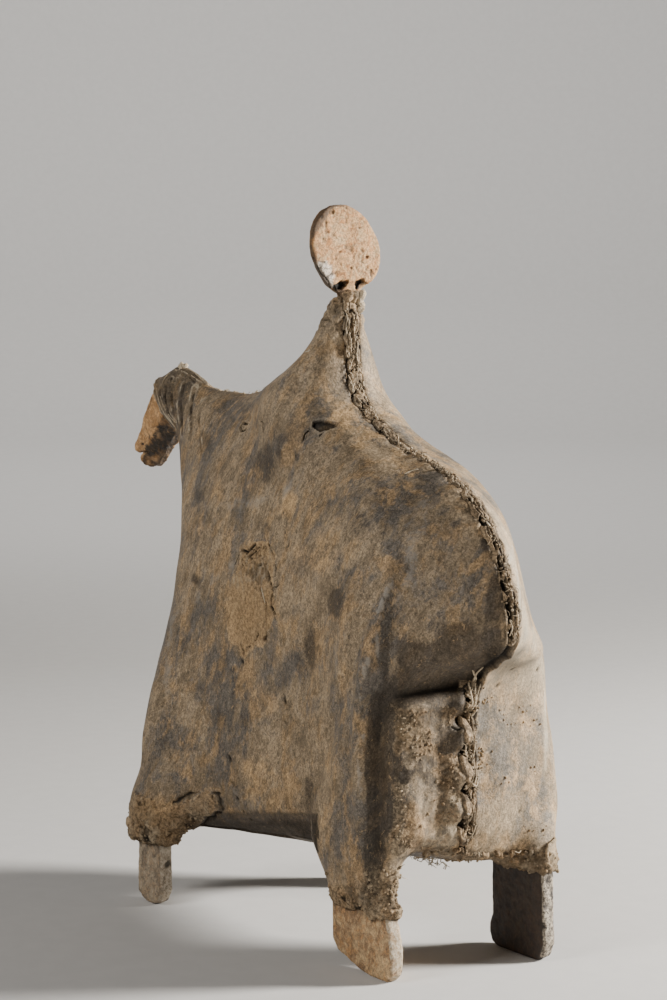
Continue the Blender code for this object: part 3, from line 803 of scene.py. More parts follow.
# Rubbed places with a painted highlight too: the bulge beside the rump's seam, and the rear corner
WORN_HIGHLIGHT_LINES = (
    (((512, 533), (513, 548), (509, 562)), 0.0022, 0.8), (((518, 573), (520, 595), (519, 622)), 0.0024,
        0.8),
    (((545, 690), (546, 730), (545, 770)), 0.0030, 0.6),
)

# Where the hide is torn through: the wood below is dark, with painted shade darker towards the hole's middle
TORN = (
    (312, 425), (315, 421), (321, 420), (327, 421), (335, 424), (333, 428), (327, 430), (320, 431),
    (314, 429),
)

# Crusty earth on the front cuff, with a flap of hide torn loose at its right
FRONT_CRUST = (
    (130, 800), (136, 792), (150, 796), (160, 808), (172, 806), (186, 797), (205, 789), (217, 796),
    (220, 811), (208, 816), (200, 824), (188, 838), (170, 842), (128, 842),
)

# Soot-grey places, several of them painted shade (in the thigh's valley, under the rump's ledge, on the rear
# panel's left half and along the belly's edge), and ochre places: pixel, size across and down in pixels,
# strength
SOOT_AND_SHADE_SPOTS = (
    (270, 462, 17, 26, 0.55), (263, 528, 9, 10, 0.40), (200, 494, 11, 10, 0.45), (378, 452, 24, 12, 0.35),
    (358, 523, 17, 18, 0.40), (335, 600, 9, 19, 0.60), (312, 645, 8, 28, 0.60), (386, 668, 9, 42, 0.65),
    (365, 690, 5, 16, 0.35), (197, 581, 5, 11, 0.75), (436, 672, 46, 17, 0.75), (472, 650, 20, 12, 0.45),
    (410, 463, 26, 11, 0.35), (187, 400, 10, 20, 0.35), (168, 395, 7, 25, 0.60), (205, 445, 12, 14, 0.45),
    (286, 430, 34, 24, 0.42), (232, 720, 9, 22, 0.30), (300, 352, 8, 10, 0.35), (440, 520, 48, 60, 0.30),
    (375, 790, 11, 100, 1.00), (376, 850, 12, 46, 0.95), (308, 792, 10, 32, 0.55), (345, 740, 6, 40, 0.25),
    (362, 892, 34, 14, 0.55),
    (196, 690, 8, 12, 0.35), (182, 818, 12, 5, 0.45), (388, 775, 11, 95, 0.95), (396, 712, 22, 16, 0.80),
    (398, 832, 10, 12, 0.35), (422, 812, 9, 12, 0.30),
    (446, 704, 34, 13, 0.95), (430, 770, 34, 60, 0.62), (400, 760, 18, 80, 0.80), (340, 860, 8, 20, 0.30),
    (412, 850, 16, 22, 0.60), (470, 640, 44, 26, 0.60), (496, 602, 10, 44, 0.75), (486, 542, 8, 12, 0.75),
    (440, 660, 56, 24, 0.85), (455, 690, 30, 10, 0.95), (300, 760, 8, 20, 0.25), (250, 820, 45, 5, 0.45),
    (330, 372, 22, 26, 0.40), (322, 346, 8, 14, 0.30), (472, 610, 20, 22, 0.20), (230, 560, 5, 14, 0.25),
    (470, 520, 16, 26, 0.25), (166, 728, 5, 20, 0.25), (350, 880, 14, 8, 0.35), (258, 826, 60, 4, 0.45),
)
OCHRE_SPOTS = (
    (288, 507, 9, 19, 0.65), (251, 490, 9, 11, 0.50), (222, 497, 5, 6, 0.45), (344, 671, 4, 10, 0.55),
    (238, 689, 7, 6, 0.45), (246, 615, 20, 34, 0.95), (315, 556, 26, 28, 0.40), (345, 415, 16, 14, 0.40),
    (292, 395, 20, 9, 0.40), (254, 562, 14, 16, 0.55), (250, 770, 26, 22, 0.40), (500, 598, 7, 30, 0.55),
    (405, 735, 14, 18, 0.45), (350, 888, 22, 12, 0.40), (430, 420, 12, 8, 0.30), (298, 800, 18, 12, 0.35),
    (515, 730, 22, 60, 0.35), (158, 810, 24, 18, 0.50), (440, 445, 10, 6, 0.35), (498, 690, 14, 14, 0.45),
    (536, 690, 9, 24, 0.40), (230, 470, 16, 16, 0.35), (200, 530, 8, 26, 0.30), (452, 478, 14, 10, 0.30),
    (260, 700, 24, 22, 0.35), (285, 640, 12, 30, 0.30), (412, 475, 6, 3, 0.60),
)


def inside_by(px, outline):
    """How many pixels inside an outline points lie; below 0 outside it."""
    inside = np.zeros(len(px), bool)
    away = np.full(len(px), 1e9)
    for (x0, y0), (x1, y1) in zip(outline, outline[1:] + outline[:1]):
        crosses = (px[:, 1] > y0) != (px[:, 1] > y1)
        at = x0 + (px[:, 1] - y0) * (x1 - x0) / (y1 - y0 + 1e-9)
        inside ^= crosses & (px[:, 0] < at)
        way = np.array((x1 - x0, y1 - y0), float)
        t = unit(((px[:, 0] - x0) * way[0] + (px[:, 1] - y0) * way[1]) / (way @ way))
        away = np.minimum(away, np.hypot(px[:, 0] - x0 - t * way[0], px[:, 1] - y0 - t * way[1]))
    return np.where(inside, away, -away)


def ellipse(px, x, y, wide, high):
    """Distance of points from a pixel, in the half widths and half heights of an ellipse."""
    return np.hypot((px[:, 0] - x) / wide, (px[:, 1] - y) / high)


def pixels_of(co):
    """Where points show in the picture."""
    right, up, forward = (np.array(v) for v in camera_axes())
    rel = co - np.array(CAMERA_PLACE)
    depth = rel @ forward
    across = PICTURE_WIDE / 2 + FOCAL * (rel @ right) / depth
    return np.stack([across, PICTURE_HIGH / 2 - FOCAL * (rel @ up) / depth], 1)


def facing_camera(co, normals):
    """1 where the surface faces the camera."""
    way = np.array(CAMERA_PLACE) - co
    way /= np.linalg.norm(way, axis=1)[:, None]
    return ramp((normals * way).sum(1), 0.02, 0.15)


def plank_top(node):
    """Corners of the box round the top of a plank, where the hide grips it."""
    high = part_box(node)[1]
    top = [v.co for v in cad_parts[node].data.vertices if v.co.z > high.z - 0.010]
    low = Vector([min(c[k] for c in top) for k in range(3)])
    return low, Vector([max(c[k] for c in top) for k in range(3)])


def leg_collar(bm, node, below, above, rng):
    """The hide's cuff round the top of a plank."""
    low, high = plank_top(node)
    centre = 0.5 * (low + high)
    half = 0.5 * (high - low)
    count = 40
    square = 0.45
    rows = []
    for level, grow in ((-below, 0.0016), (-0.35 * below, 0.0030), (0.3 * above, 0.0034), (above, 0.0020)):
        row = []
        for k in range(count):
            a = 2.0 * math.pi * k / count
            c = math.cos(a)
            s = math.sin(a)
            x = centre.x + (half.x + grow) * math.copysign(abs(c) ** square, c)
            y = centre.y + (half.y + grow) * math.copysign(abs(s) ** square, s)
            drop = level + (rng.uniform(-0.35, 0.35) * below if level < 0.0 else 0.0)
            row.append(Vector((x, y, high.z + drop)))
        rows.append(row)
    sweep(bm, rows)


MOUTH_TOP = Vector((0.0, ORIGIN_Y - 0.256, 0.374))
MOUTH_LOW = Vector((0.0, ORIGIN_Y - 0.219, 0.333))
MOUTH_HALF_WIDTH = 0.0135
MOUTH_HALF_HEIGHT = 0.0262


def mouth_axes():
    """Up along the hide's opening at the horse's face, and the way it looks."""
    up = (MOUTH_TOP - MOUTH_LOW).normalized()
    return up, Vector((0.0, -up.z, up.y))


def mouth_ring(grow, push, count=60):
    """A ring round the hide's opening at the horse's face."""
    up, ahead = mouth_axes()
    centre = 0.5 * (MOUTH_TOP + MOUTH_LOW) + ahead * push
    ring = []
    for k in range(count):
        a = 2.0 * math.pi * k / count
        side = Vector((1.0, 0.0, 0.0)) * ((MOUTH_HALF_WIDTH + grow) * math.cos(a))
        ring.append(centre + side + up * ((MOUTH_HALF_HEIGHT + grow) * math.sin(a)))
    return ring, ahead


def ring_cord(bm, ring, ahead, size, sides=8):
    """An uneven cord laid along a closed ring."""
    centre = sum(ring, Vector()) / len(ring)
    rows = []
    for k in range(len(ring) + 1):
        p = ring[k % len(ring)]
        out = (p - centre).normalized()
        here = size * (1.0 + 0.28 * math.sin(5.0 * k) * math.sin(2.3 * k))
        row = []
        for j in range(sides):
            a = 2.0 * math.pi * j / sides
            row.append(p + out * (here * math.cos(a)) + ahead * (1.3 * here * math.sin(a)))
        rows.append(row)
    sweep(bm, rows)


LEG_NODES = ("leg_front_left", "leg_front_right", "leg_hind_left", "leg_hind_right")
MARKS = ("bare", "crust", "dark", "pale", "wear_and_sheen", "soot_and_shade")


def leg_nearness(co, node, reach, spread):
    """1 on the hide round the top of a leg, falling off above and beside it."""
    low, high = (np.array(v) for v in plank_top(node))
    past = np.maximum(np.abs(co - 0.5 * (low + high)) - 0.5 * (high - low), 0.0)
    out = np.linalg.norm(past[:, :2], axis=1)
    return unit(1.0 - (co[:, 2] - high[2]) / reach) * unit(1.4 - out / spread)


def spots_share(px, co, spots, seed):
    """How strongly soft irregular spots cover each point."""
    total = np.zeros(len(co))
    ragged = 0.75 * crags(co, 0.014, seed, 4)
    for x, y, wide, high, strength in spots:
        total = np.maximum(total, strength * unit(1.45 - ellipse(px, x, y, wide, high) - ragged))
    return total


class Scraps:
    """Crumbs, flakes and threads added to a bmesh, each with its marks."""

    def __init__(self, bm, names, rng):
        self.bm = bm
        self.rng = rng
        floats = bm.verts.layers.float
        self.layers = {name: floats[name] if name in floats else floats.new(name) for name in names}

    def mark(self, verts, marks):
        for vert in verts:
            for name, value in marks:
                vert[self.layers[name]] = value

    def crumb(self, place, size, marks, finer=1):
        """A crumb of earth or a flake, half sunk in the surface; a finer one is a crumpled lump."""
        rng = self.rng
        verts = bmesh.ops.create_icosphere(self.bm, subdivisions=finer, radius=1.0)["verts"]
        angle = rng.uniform(0.0, 6.28)
        turn = Matrix.Rotation(angle, 3, Vector([rng.uniform(-1.0, 1.0) for _ in range(3)]))
        stretch = Vector([rng.uniform(0.55, 1.25) for _ in range(3)])
        balls = np.array([v.co for v in verts])
        uneven = (0.30 if finer < 2 else 0.50) * crags(balls, 0.9, rng.randrange(90), 3)
        for k, vert in enumerate(verts):
            vert.co = Vector(place) + turn @ (vert.co * stretch * size * (1.0 + uneven[k]))
        self.mark(verts, marks)

    def thread(self, line, width, marks, sides=5, up=Vector((0.3, 0.9, 0.3))):
        first = len(self.bm.verts)
        strand(self.bm, line, width, 0.8 * width, up, sides=sides, waver=0.1, rng=self.rng)
        self.bm.verts.ensure_lookup_table()
        self.mark(self.bm.verts[first:], marks)


# Towards the camera's side, for what lies on the hide
TOWARD = Vector((0.30, 0.90, 0.10))

# The loop of hide at the top of the right hind leg, then the ends of its knot:
# pixels along each, width and how pale
LEG_LOOP = (
    (548, 866), (546, 855), (548, 845), (554, 839), (560, 842), (562, 851), (561, 862), (556, 869),
    (549, 867),
)
KNOT_ENDS = (
    (((543, 862), (549, 865), (556, 866)), 0.0022, 0.2), (((550, 870), (553, 876), (551, 881)), 0.0020,
        0.1),
    (((557, 868), (559, 874), (563, 879)), 0.0017, 0.5), (((545, 866), (546, 873), (543, 878)), 0.0016,
        0.4),
)
REAR_HEM = (
    (402, 889), (412, 874), (430, 855), (455, 855), (478, 860), (500, 858), (520, 860), (536, 858),
    (550, 866),
)

# The raw edge of the hide beside the horse's face: pixels along it, width and how pale
FACE_EDGES = (
    (((156.5, 388), (158, 397), (161, 407), (164, 413)), 0.0011, 0.45),
    (((163, 411), (166, 416), (171, 422), (175, 427)), 0.0012, 0.6),
    (((160, 396), (163, 405), (166, 411)), 0.0007, 0.35), (((168, 414), (171, 418), (175, 422)), 0.0008,
        0.5),
    (((170, 373), (165, 378), (161, 387)), 0.0013, 0.35),
)

# A few hairs and a thorn on the outline: pixels along each, and width
HAIRS = (
    (((305, 352), (303, 348), (304, 345)), 0.0012), (((404, 474), (411, 471), (418, 469)), 0.0008),
    (((484, 518), (487, 523), (490, 526)), 0.0012), (((261, 587), (263, 595), (265, 603)), 0.0011),
)
LEFT_PANEL = ((384, 698), (470, 702), (462, 862), (386, 862))
LEFT_PANEL_CRUMBS = ((392, 702), (462, 706), (458, 850), (392, 846))
RIGHT_PANEL_CRUMBS = ((480, 700), (540, 680), (556, 850), (476, 850))


def scatter_crumbs(scraps, co, normals):
    """Crumbs of earth on the cuffs, the hem, the rear panels and the peeled place."""
    px = pixels_of(co)
    seen = facing_camera(co, normals)
    cuffs = np.zeros(len(co))
    for node in LEG_NODES:
        cuffs = np.maximum(cuffs, leg_nearness(co, node, 0.020, 0.012))
    cuffs *= co[:, 2] < 0.075
    front = seen * (inside_by(px, FRONT_CRUST) > 1.0)
    hem = unit(1.0 - np.abs(co[:, 2] - 0.062) / 0.016) * (co[:, 1] > 0.15)
    left = seen * (inside_by(px, LEFT_PANEL_CRUMBS) > 0.0) * patchy(co, 0.15, 1.5, 0.016, 66, 3)
    right = seen * (inside_by(px, RIGHT_PANEL_CRUMBS) > 0.0) * (crags(co, 0.014, 63, 2) > 0.30)
    peel = seen * (inside_by(px, PEELED) > 2.0)
    pick = np.random.default_rng(4)
    for share, count, small, large, marks in (
        (cuffs, 200, 0.0005, 0.0014, (("crust", 0.9), ("pale", 0.15))),
        (front, 90, 0.0005, 0.0014, (("crust", 1.0), ("pale", 0.2))),
        (hem, 180, 0.0006, 0.0017, (("crust", 0.85), ("pale", 0.2))),
        (left, 300, 0.0004, 0.0013, (("crust", 1.0), ("pale", 0.15))),
        (right, 90, 0.0004, 0.0010, (("crust", 0.9), ("bare", 0.5))),
        (peel, 60, 0.0003, 0.0008, (("bare", 1.0), ("pale", 0.3))),
    ):
        for k in pick.choice(len(co), count, p=share / share.sum()):
            size = small + (large - small) * scraps.rng.random() ** 2
            scraps.crumb(co[k] + normals[k] * size * 0.25, size, marks)


def lay_threads(scraps, tree, rows, steps, above, sides, mark_with):
    """Threads through pixels on the hide, a little above it."""
    for pixels, width, *tone in rows:
        line = [spot(tree, *p) + TOWARD * above for p in pixels]
        scraps.thread(smooth_line(line, steps), width, mark_with(*tone), *sides)


def tie_leg_loop(scraps, tree):
    """The loop of hide at the top of the right hind leg, with its knot."""
    loop = [spot(tree, *p) + TOWARD * 0.0020 for p in LEG_LOOP]
    scraps.thread(smooth_line(loop, 32), 0.0027, (("crust", 0.5), ("pale", 0.25)), 9, TOWARD)
    marks = lambda pale: (("crust", 0.5), ("pale", pale))
    lay_threads(scraps, tree, KNOT_ENDS, 12, 0.0026, (8, TOWARD), marks)


def rough_hem(scraps, tree):
    """Lumps of earth and torn bits along the rear hem, then lint and threads that hang there."""
    rng = scraps.rng
    for _ in range(85):
        k = rng.randrange(len(REAR_HEM) - 1)
        t = rng.random()
        x = REAR_HEM[k][0] * (1 - t) + REAR_HEM[k + 1][0] * t
        y = REAR_HEM[k][1] * (1 - t) + REAR_HEM[k + 1][1] * t
        place = spot(tree, x, y - rng.uniform(1.0, 7.0))
        crust = rng.uniform(0.5, 1.0)
        soot_and_shade = rng.choice((0.0, 0.5, 1.0))
        pale = rng.choice((0.0, 0.0, 0.3))
        size = rng.uniform(0.0010, 0.0026)
        scraps.crumb(place, size, (("crust", crust), ("soot_and_shade", soot_and_shade), ("pale", pale)), 2)
    tuft = 46
    for k in range(76):
        if k < tuft:
            x, y = rng.uniform(414, 442), rng.uniform(858, 876)
        elif k < 66:
            x, y = rng.uniform(398, 414), rng.uniform(862, 892)
        else:
            x, y = rng.uniform(474, 562), rng.uniform(850, 868)
        start = spot(tree, x, y if k >= tuft else min(y, 864)) + TOWARD * 0.0006
        if k < tuft:
            start.z -= rng.uniform(0.0, 0.006)
        first, second = (
            Vector((rng.uniform(-1, 1), rng.uniform(-0.3, 0.8), rng.uniform(-1, 0.5))) for _ in range(2)
        )
        size = rng.uniform(0.002, 0.006)
        curl = (rng.uniform(0.25, 0.6) if k < tuft else 0.1) * size
        line = []
        for t in (0.0, 0.17, 0.33, 0.5, 0.67, 0.83, 1.0):
            coil = Vector((math.cos(9.0 * t), 0.0, math.sin(9.0 * t))) * curl
            line.append(start + (first * t + second * t * t) * size + coil)
        scraps.thread(line, 0.0008 if k < tuft else 0.0005, (("pale", 1.0),), 4)


def hide_extras(hide, tree, rng):
    """Crumbs of earth, the knotted loop at the right hind leg, lint at the hems and raw edges."""
    bm = bmesh.new()
    scraps = Scraps(bm, MARKS, rng)
    scatter_crumbs(scraps, points_of(hide), normals_of(hide))
    tie_leg_loop(scraps, tree)
    rough_hem(scraps, tree)
    lay_threads(scraps, tree, FACE_EDGES, 22, 0.0003, (7, TOWARD), lambda pale: (("pale", pale),))
    lay_threads(scraps, tree, HAIRS, 8, 0.0005, (6,), lambda: (("pale", 0.95),))
    extra = bpy.data.meshes.new("hide_extras")
    bmesh.ops.recalc_face_normals(bm, faces=bm.faces)
    bm.to_mesh(extra)
    bm.free()
    both = bmesh.new()
    both.from_mesh(hide.data)
    both.from_mesh(extra)
    both.to_mesh(hide.data)
    both.free()
    bpy.data.meshes.remove(extra)
    hide.data.shade_smooth()


def crumpled(points, ways, seam, level):
    """Where the hide is crumpled enough for finer cells, in the first, second or third round."""
    px = pixels_of(points)
    # the left side and the rear, as far as the outline
    visible = ((points[:, 0] > -0.02) | (points[:, 1] > 0.12)) & (facing_camera(points, ways) > 0.0)
    close = np.zeros(len(points), bool)
    if level == 0:
        close |= (points[:, 2] > NECK_FOOT) | (from_line(points, seam)[0] < 0.0095)
        for node in LEG_NODES:
            close |= (leg_nearness(points, node, 0.020, 0.010) > 0.0) & (points[:, 2] < 0.08)
    for outline, rounds in ZONES:
        if rounds > level:
            close |= (inside_by(px, outline) > 0.0) & visible
    return close


def two_sided(above, high, low):
    """1 at a level, falling off over one distance above it and another below it."""
    rising = np.exp(-np.maximum(above, 0.0) / high)
    return np.where(above > 0.0, rising, np.exp(np.minimum(above, 0.0) / low))


class HideSkin:
    """The hide's points while it is shaped: where they show in the picture, how far each is to
    be lifted, and its marks."""

    def __init__(self, hide, seam):
        self.hide = hide
        self.seam = seam
        self.length = sum((b - a).length for a, b in zip(seam, seam[1:]))
        self.marks = {name: np.zeros(len(hide.data.vertices)) for name in MARKS}
        self.move_to(points_of(hide))

    def move_to(self, co):
        """Move the points, and see anew where they show and how far the back seam is."""
        self.co = co
        set_points(self.hide, co)
        self.lift = np.zeros(len(co))
        self.normals = normals_of(self.hide)
        self.px = pixels_of(co)
        self.right, self.down = self.px.T
        self.seen = facing_camera(co, self.normals)
        self.tree = BVHTree.FromObject(self.hide, bpy.context.evaluated_depsgraph_get())
        self.away, along = from_line(co, self.seam)
        self.places = along * self.length * 1000.0
        self.half = 0.001 * half_width(SEAM_WIDTHS, self.places)
        self.above_ledge = np.interp(self.right, *zip(*LEDGE)) - self.down

    def lifted(self):
        return self.co + self.normals * self.lift[:, None]

    def line(self, pixels):
        return [spot(self.tree, *p) for p in pixels]

    def far(self, pixels):
        """Distance from a line through pixels."""
        return from_line(self.co, self.line(pixels))[0]

    def add(self, name, values):
        """Lay a mark over what is there: the stronger one stays."""
        self.marks[name] = np.maximum(self.marks[name], values)


def shape_flanks(skin, pitch):
    """Soft lumps, the ridges and hollows of the picture, and puckers at the back lacing."""
    co = skin.co
    skin.lift += 0.0012 * crags(co, 0.055, 3) + 0.0006 * crags(co, 0.020, 5, 2, (1.0, 1.0, 1.8))
    for pixels, wide, rise in RELIEF:
        d, share = from_line(co, skin.line(pixels))
        skin.lift += rise * bell(d, wide) * np.sin(np.pi * np.clip(share, 0.04, 0.96)) ** 0.35
    turns = skin.places / 1000.0 / pitch
    skin.lift += 0.0008 * np.cos(2.0 * np.pi * turns) * bell(skin.away, 0.011)
    # the holes of the lower seam, with the hide swelling between them
    for x, y in LOWER_HOLES[1:-1]:
        skin.lift -= skin.seen * 0.0062 * np.exp(-ellipse(skin.px, x - 1, y, 5.5, 5.5) ** 3)
        skin.lift += skin.seen * 0.0040 * bell(ellipse(skin.px, x - 7, y - 18, 8.0, 10.0), 1.0)


def turn_under(skin):
    """How far the rump turns under above its ledge, with the panel puffed out below it, and the
    belly turns under along its lower edge."""
    within = ramp(skin.right, 374, 50) * ramp(skin.right, 508, -26) * skin.seen
    turned = two_sided(skin.above_ledge, 27.0, 4.5)
    puff = bell(skin.above_ledge + 15.0, 8.0)
    rearward = np.array((0.25, 0.97, 0.0))
    shift = rearward * (within * (0.0016 * puff - 0.0085 * turned))[:, None]
    belly = skin.seen * ramp(skin.right, 188, 12) * ramp(skin.right, 316, -10) * (skin.co[:, 2] < 0.12)
    shift[:, 0] -= 0.0040 * (belly * ramp(skin.down, 811, 20)) ** 1.5
    return shift


def gather_neck(skin):
    """Crumpled folds where the hide is gathered at the rider's neck."""
    co = skin.co
    skin.neck = ramp(co[:, 2], NECK_FOOT, 0.014)
    folds = 1.0 - 2.2 * np.abs(crags(co, 0.0100, 9, 3, (1.0, 1.0, 0.7)))
    near, second = pebbles(co, 0.0075, 15, (1.0, 1.0, 0.8))
    skin.lift += skin.neck * (0.0017 * folds - 0.0006 - 0.0016 * unit(1.0 - (second - near) / 0.16))
    # painted shade in the crevices between the folds
    skin.add("dark", 0.8 * skin.neck * unit(1.0 - (second - near) / 0.13))
    # the top is drawn in towards the neck's axis
    top = ramp(co[:, 2], 0.430, 0.010)
    axis = np.array((0.0, skin.seam[0].y - 0.010))
    moved = skin.lifted()
    moved[:, :2] += (axis - moved[:, :2]) * (0.16 * top ** 1.5)[:, None]
    skin.move_to(moved)


def lay_earth(skin):
    """Earth on the cuffs, in a crust on the front one, and along the rear hem."""
    co, seen = skin.co, skin.seen
    near, second = pebbles(co, 0.0062, 21)
    lump = 0.6 * crags(co, 0.010, 22, 4) + 0.5 * (0.55 - pebbles(co, 0.0042, 23)[0])
    hollow = ramp(-lump, 0.16, 0.14)
    crevice = unit(1.0 - (second - near) / 0.16) * patchy(co, 0.4, 1.4, 0.011, 27)
    reaches = (0.016, 0.022, 0.012, 0.012)
    for node, reach, rise in zip(LEG_NODES, reaches, (0.0032, 0.0030, 0.0034, 0.0032)):
        here = unit(1.7 * leg_nearness(co, node, reach, 0.012) + 0.5 * crags(co, 0.012, 21, 3) - 0.3)
        skin.lift += rise * here * (0.30 + lump)
        skin.add("crust", here)
        # painted shade in the hollows of the earth
        skin.add("dark", 0.85 * here * hollow)
    inside = inside_by(skin.px, FRONT_CRUST) + 3.0 * crags(co, 0.006, 29)
    front = seen * (co[:, 1] < 0.0)
    earthy = front * unit(inside / 5.0)
    skin.lift += front * unit(inside / 2.2) * (0.0022 + 0.0032 * lump)
    skin.add("crust", earthy)
    # painted shade in the hollows of the front crust
    skin.add("dark", 0.6 * earthy * hollow)
    skin.add("pale", 0.30 * earthy * unit(0.5 + lump))
    # beside the front crust the hide is sunk and darkened as a painted shadow
    beside = front * bell(inside + 2.0, 1.8) * (skin.right > 172) * (skin.down > 792)
    skin.lift -= 0.0012 * beside
    skin.add("dark", 0.85 * beside)
    hem = ramp(co[:, 2], 0.082, -0.020) * ramp(co[:, 1], 0.130, 0.03)
    hem = unit(1.3 * hem + 0.8 * hem * crags(co, 0.012, 41, 3))
    skin.lift += hem * 0.0040 * lump
    skin.add("crust", 0.75 * hem)
    # painted shade in the hollows and crevices of the hem
    skin.add("dark", 0.9 * hem * np.maximum(hollow, crevice * 0.7))
    skin.add("soot_and_shade", 0.7 * hem * patchy(co, 0.4, 1.5, 0.009, 43, 3))
    skin.add("crust", 0.35 * skin.neck * patchy(co, 0.5, 1.0, 0.008, 49))
    # beside the back lacing
    side = bell(skin.away - skin.half, 0.0035)
    skin.lift += side * 0.0007 * crags(co, 0.005, 51, 3)
    skin.add("crust", 0.5 * side * patchy(co, 0.3, 1.0, 0.010, 53))


def soil_left_panel(skin):
    """Dirt and crumbs on the rear panel's left half, thicker towards its foot, with painted shade on its
    upper left and dust with painted light at its foot.
    """
    co = skin.co
    panel = unit(inside_by(skin.px, LEFT_PANEL) / 8.0) * skin.seen
    skin.lift += panel * (0.0013 * crags(co, 0.018, 62, 3) + 0.0010 * crags(co, 0.0050, 64))
    skin.add("crust", panel * np.clip(0.35 + 1.6 * crags(co, 0.016, 66, 3), 0.0, 0.85))
    lower = ramp(skin.down, 775, 35) * ramp(skin.right, 405, 20) * panel
    # painted shade, darker to the left and above the foot
    soot_and_shade = panel * np.clip(0.55 + 1.2 * crags(co, 0.026, 68), 0.15, 0.95)
    skin.add("soot_and_shade", soot_and_shade * np.clip((490 - skin.right) / 50, 0.3, 1.0) * (1.0 - lower))
    # dust and painted light make the foot paler
    skin.add("pale", 0.38 * lower * patchy(co, 0.8, 1.2, 0.006, 89, 3))
    skin.add("crust", 0.75 * lower * patchy(co, 0.7, 1.6, 0.011, 85, 3))


def soil_head_folds(skin):
    """Dirt in the folds of the horse's head, and their worn ridges."""
    folded = np.zeros(len(skin.co))
    ridged = np.zeros(len(skin.co))
    for pixels, wide in HEAD_FOLDS:
        d = skin.far(pixels)
        folded = np.maximum(folded, bell(d, wide))
        ridged = np.maximum(ridged, bell(d - 1.9 * wide, 0.5 * wide))
    skin.add("dark", 0.85 * skin.seen * folded * patchy(skin.co, 0.55, 1.1, 0.008, 87, 3))
    skin.add("pale", 0.75 * skin.seen * ridged * patchy(skin.co, 0.4, 1.6, 0.006, 88))


def peel_flank(skin):
    """The peeled place: gritty inside, with lifted plates in its upper part and a dark scab."""
    co = skin.co
    peel = skin.seen * unit((inside_by(skin.px, PEELED) + 5.0 * crags(co, 0.008, 71)) / 7.0)
    upper = peel * ramp(skin.down, 597, -16)
    near, second = pebbles(co, 0.0040, 75, (1.0, 0.8, 1.5))
    seams = unit(1.0 - (second - near) / 0.17) * patchy(co, 0.45, 1.6, 0.010, 77)
    skin.lift += upper * (0.0010 * (0.7 - near) - 0.0016 * seams)
    skin.lift += peel * (0.0005 * crags(co, 0.0032, 73) - 0.0004)
    skin.lift -= peel * 0.0006 * unit(pebbles(co, 0.0026, 79)[0] - 0.55)
    scab = unit(1.0 - ellipse(skin.px, 259, 574, 15, 12) + 0.6 * crags(co, 0.005, 83)) * peel
    skin.add("soot_and_shade", 0.9 * unit(2.0 * scab))
    # painted shade in the seams between the plates
    skin.add("dark", 0.85 * upper * seams)
    skin.add("bare", 0.85 * peel)
    skin.add("crust", 0.55 * peel)
    skin.add("pale", 0.8 * upper * unit(near * 1.6 - 0.5) * (1.0 - seams))


def cut_cracks(skin):
    """Cracks with a raised lip, the torn hole and the holes of the lower seam, darkened inside as painted
    shade.
    """
    co, seen = skin.co, skin.seen
    wobble = 1.0 + 0.6 * lumps(co, 0.0022, 81)
    for pixels, wide, deep in CRACKS + PEELED_CRACKS:
        d = skin.far(pixels)
        cut = bell(d, wide * wobble)
        lip = bell(d - 2.0 * wide, wide)
        skin.lift += seen * deep * (0.25 * lip - cut)
        skin.add("dark", seen * unit(1.4 * cut - 0.15))
        skin.add("pale", seen * 0.25 * lip)
    d = inside_by(skin.px, TORN) + 2.2 * crags(co, 0.0036, 91, 3)
    hole = seen * unit(d / 0.9 + 0.4)
    lip = seen * bell(d + 1.6, 1.1)
    skin.lift += 0.0002 * lip - 0.0026 * hole
    skin.add("dark", hole * (0.62 + 0.3 * unit((4.0 - d) / 4.0)))
    skin.add("pale", 0.35 * lip)
    for x, y in LOWER_HOLES[1:-1]:
        d = ellipse(skin.px, x - 1, y, 4.6, 4.2) + 0.5 * crags(co, 0.005, 98)
        skin.add("dark", seen * unit((1.2 - d) / 0.5))


def weather(skin):
    """Soot and ochre places with painted shade among the soot, the lit right side made paler as painted
    light, rubbed places with painted sheen, and painted shade on surfaces that face down.
    """
    co, seen = skin.co, skin.seen
    # the figure's right side, where the light falls, is made paler as painted light, most of all beside the
    # rump's seam
    lit_side = seen * ramp(-co[:, 0], 0.007, 0.006) * ramp(co[:, 2], 0.32, -0.03)
    beside_rump = ramp(co[:, 2], 0.17, 0.03)
    skin.add("pale", lit_side * (0.20 + 0.30 * beside_rump) * patchy(co, 0.9, 0.6, 0.020, 45, 3))
    # soot spots, some of them painted shade
    skin.add("soot_and_shade", seen * (1.0 - lit_side) * spots_share(skin.px, co, SOOT_AND_SHADE_SPOTS, 90))
    skin.add("bare", seen * spots_share(skin.px, co, OCHRE_SPOTS, 93))
    # rubbed places: smoother, with painted sheen
    for pixels, wide, strength in WEAR_AND_SHEEN_LINES + WORN_HIGHLIGHT_LINES:
        skin.add("wear_and_sheen", seen * strength * bell(skin.far(pixels), wide))
    # painted highlights along the rubbed bulge and the rear corner
    for pixels, wide, strength in WORN_HIGHLIGHT_LINES:
        skin.add("pale", 0.5 * seen * bell(skin.far(pixels), 1.3 * wide))
    # the unseen side has the same kinds of marks, scattered
    unseen = (1.0 - seen) * unit(1.2 - co[:, 2] / 0.4)
    skin.add("soot_and_shade", unseen * np.clip(1.3 * crags(co, 0.05, 94, 3) - 0.1, 0.0, 0.6))
    # painted shade on every surface that faces down
    skin.add("soot_and_shade", np.minimum(1.3 * unit(-skin.normals[:, 2] - 0.25), 0.9))


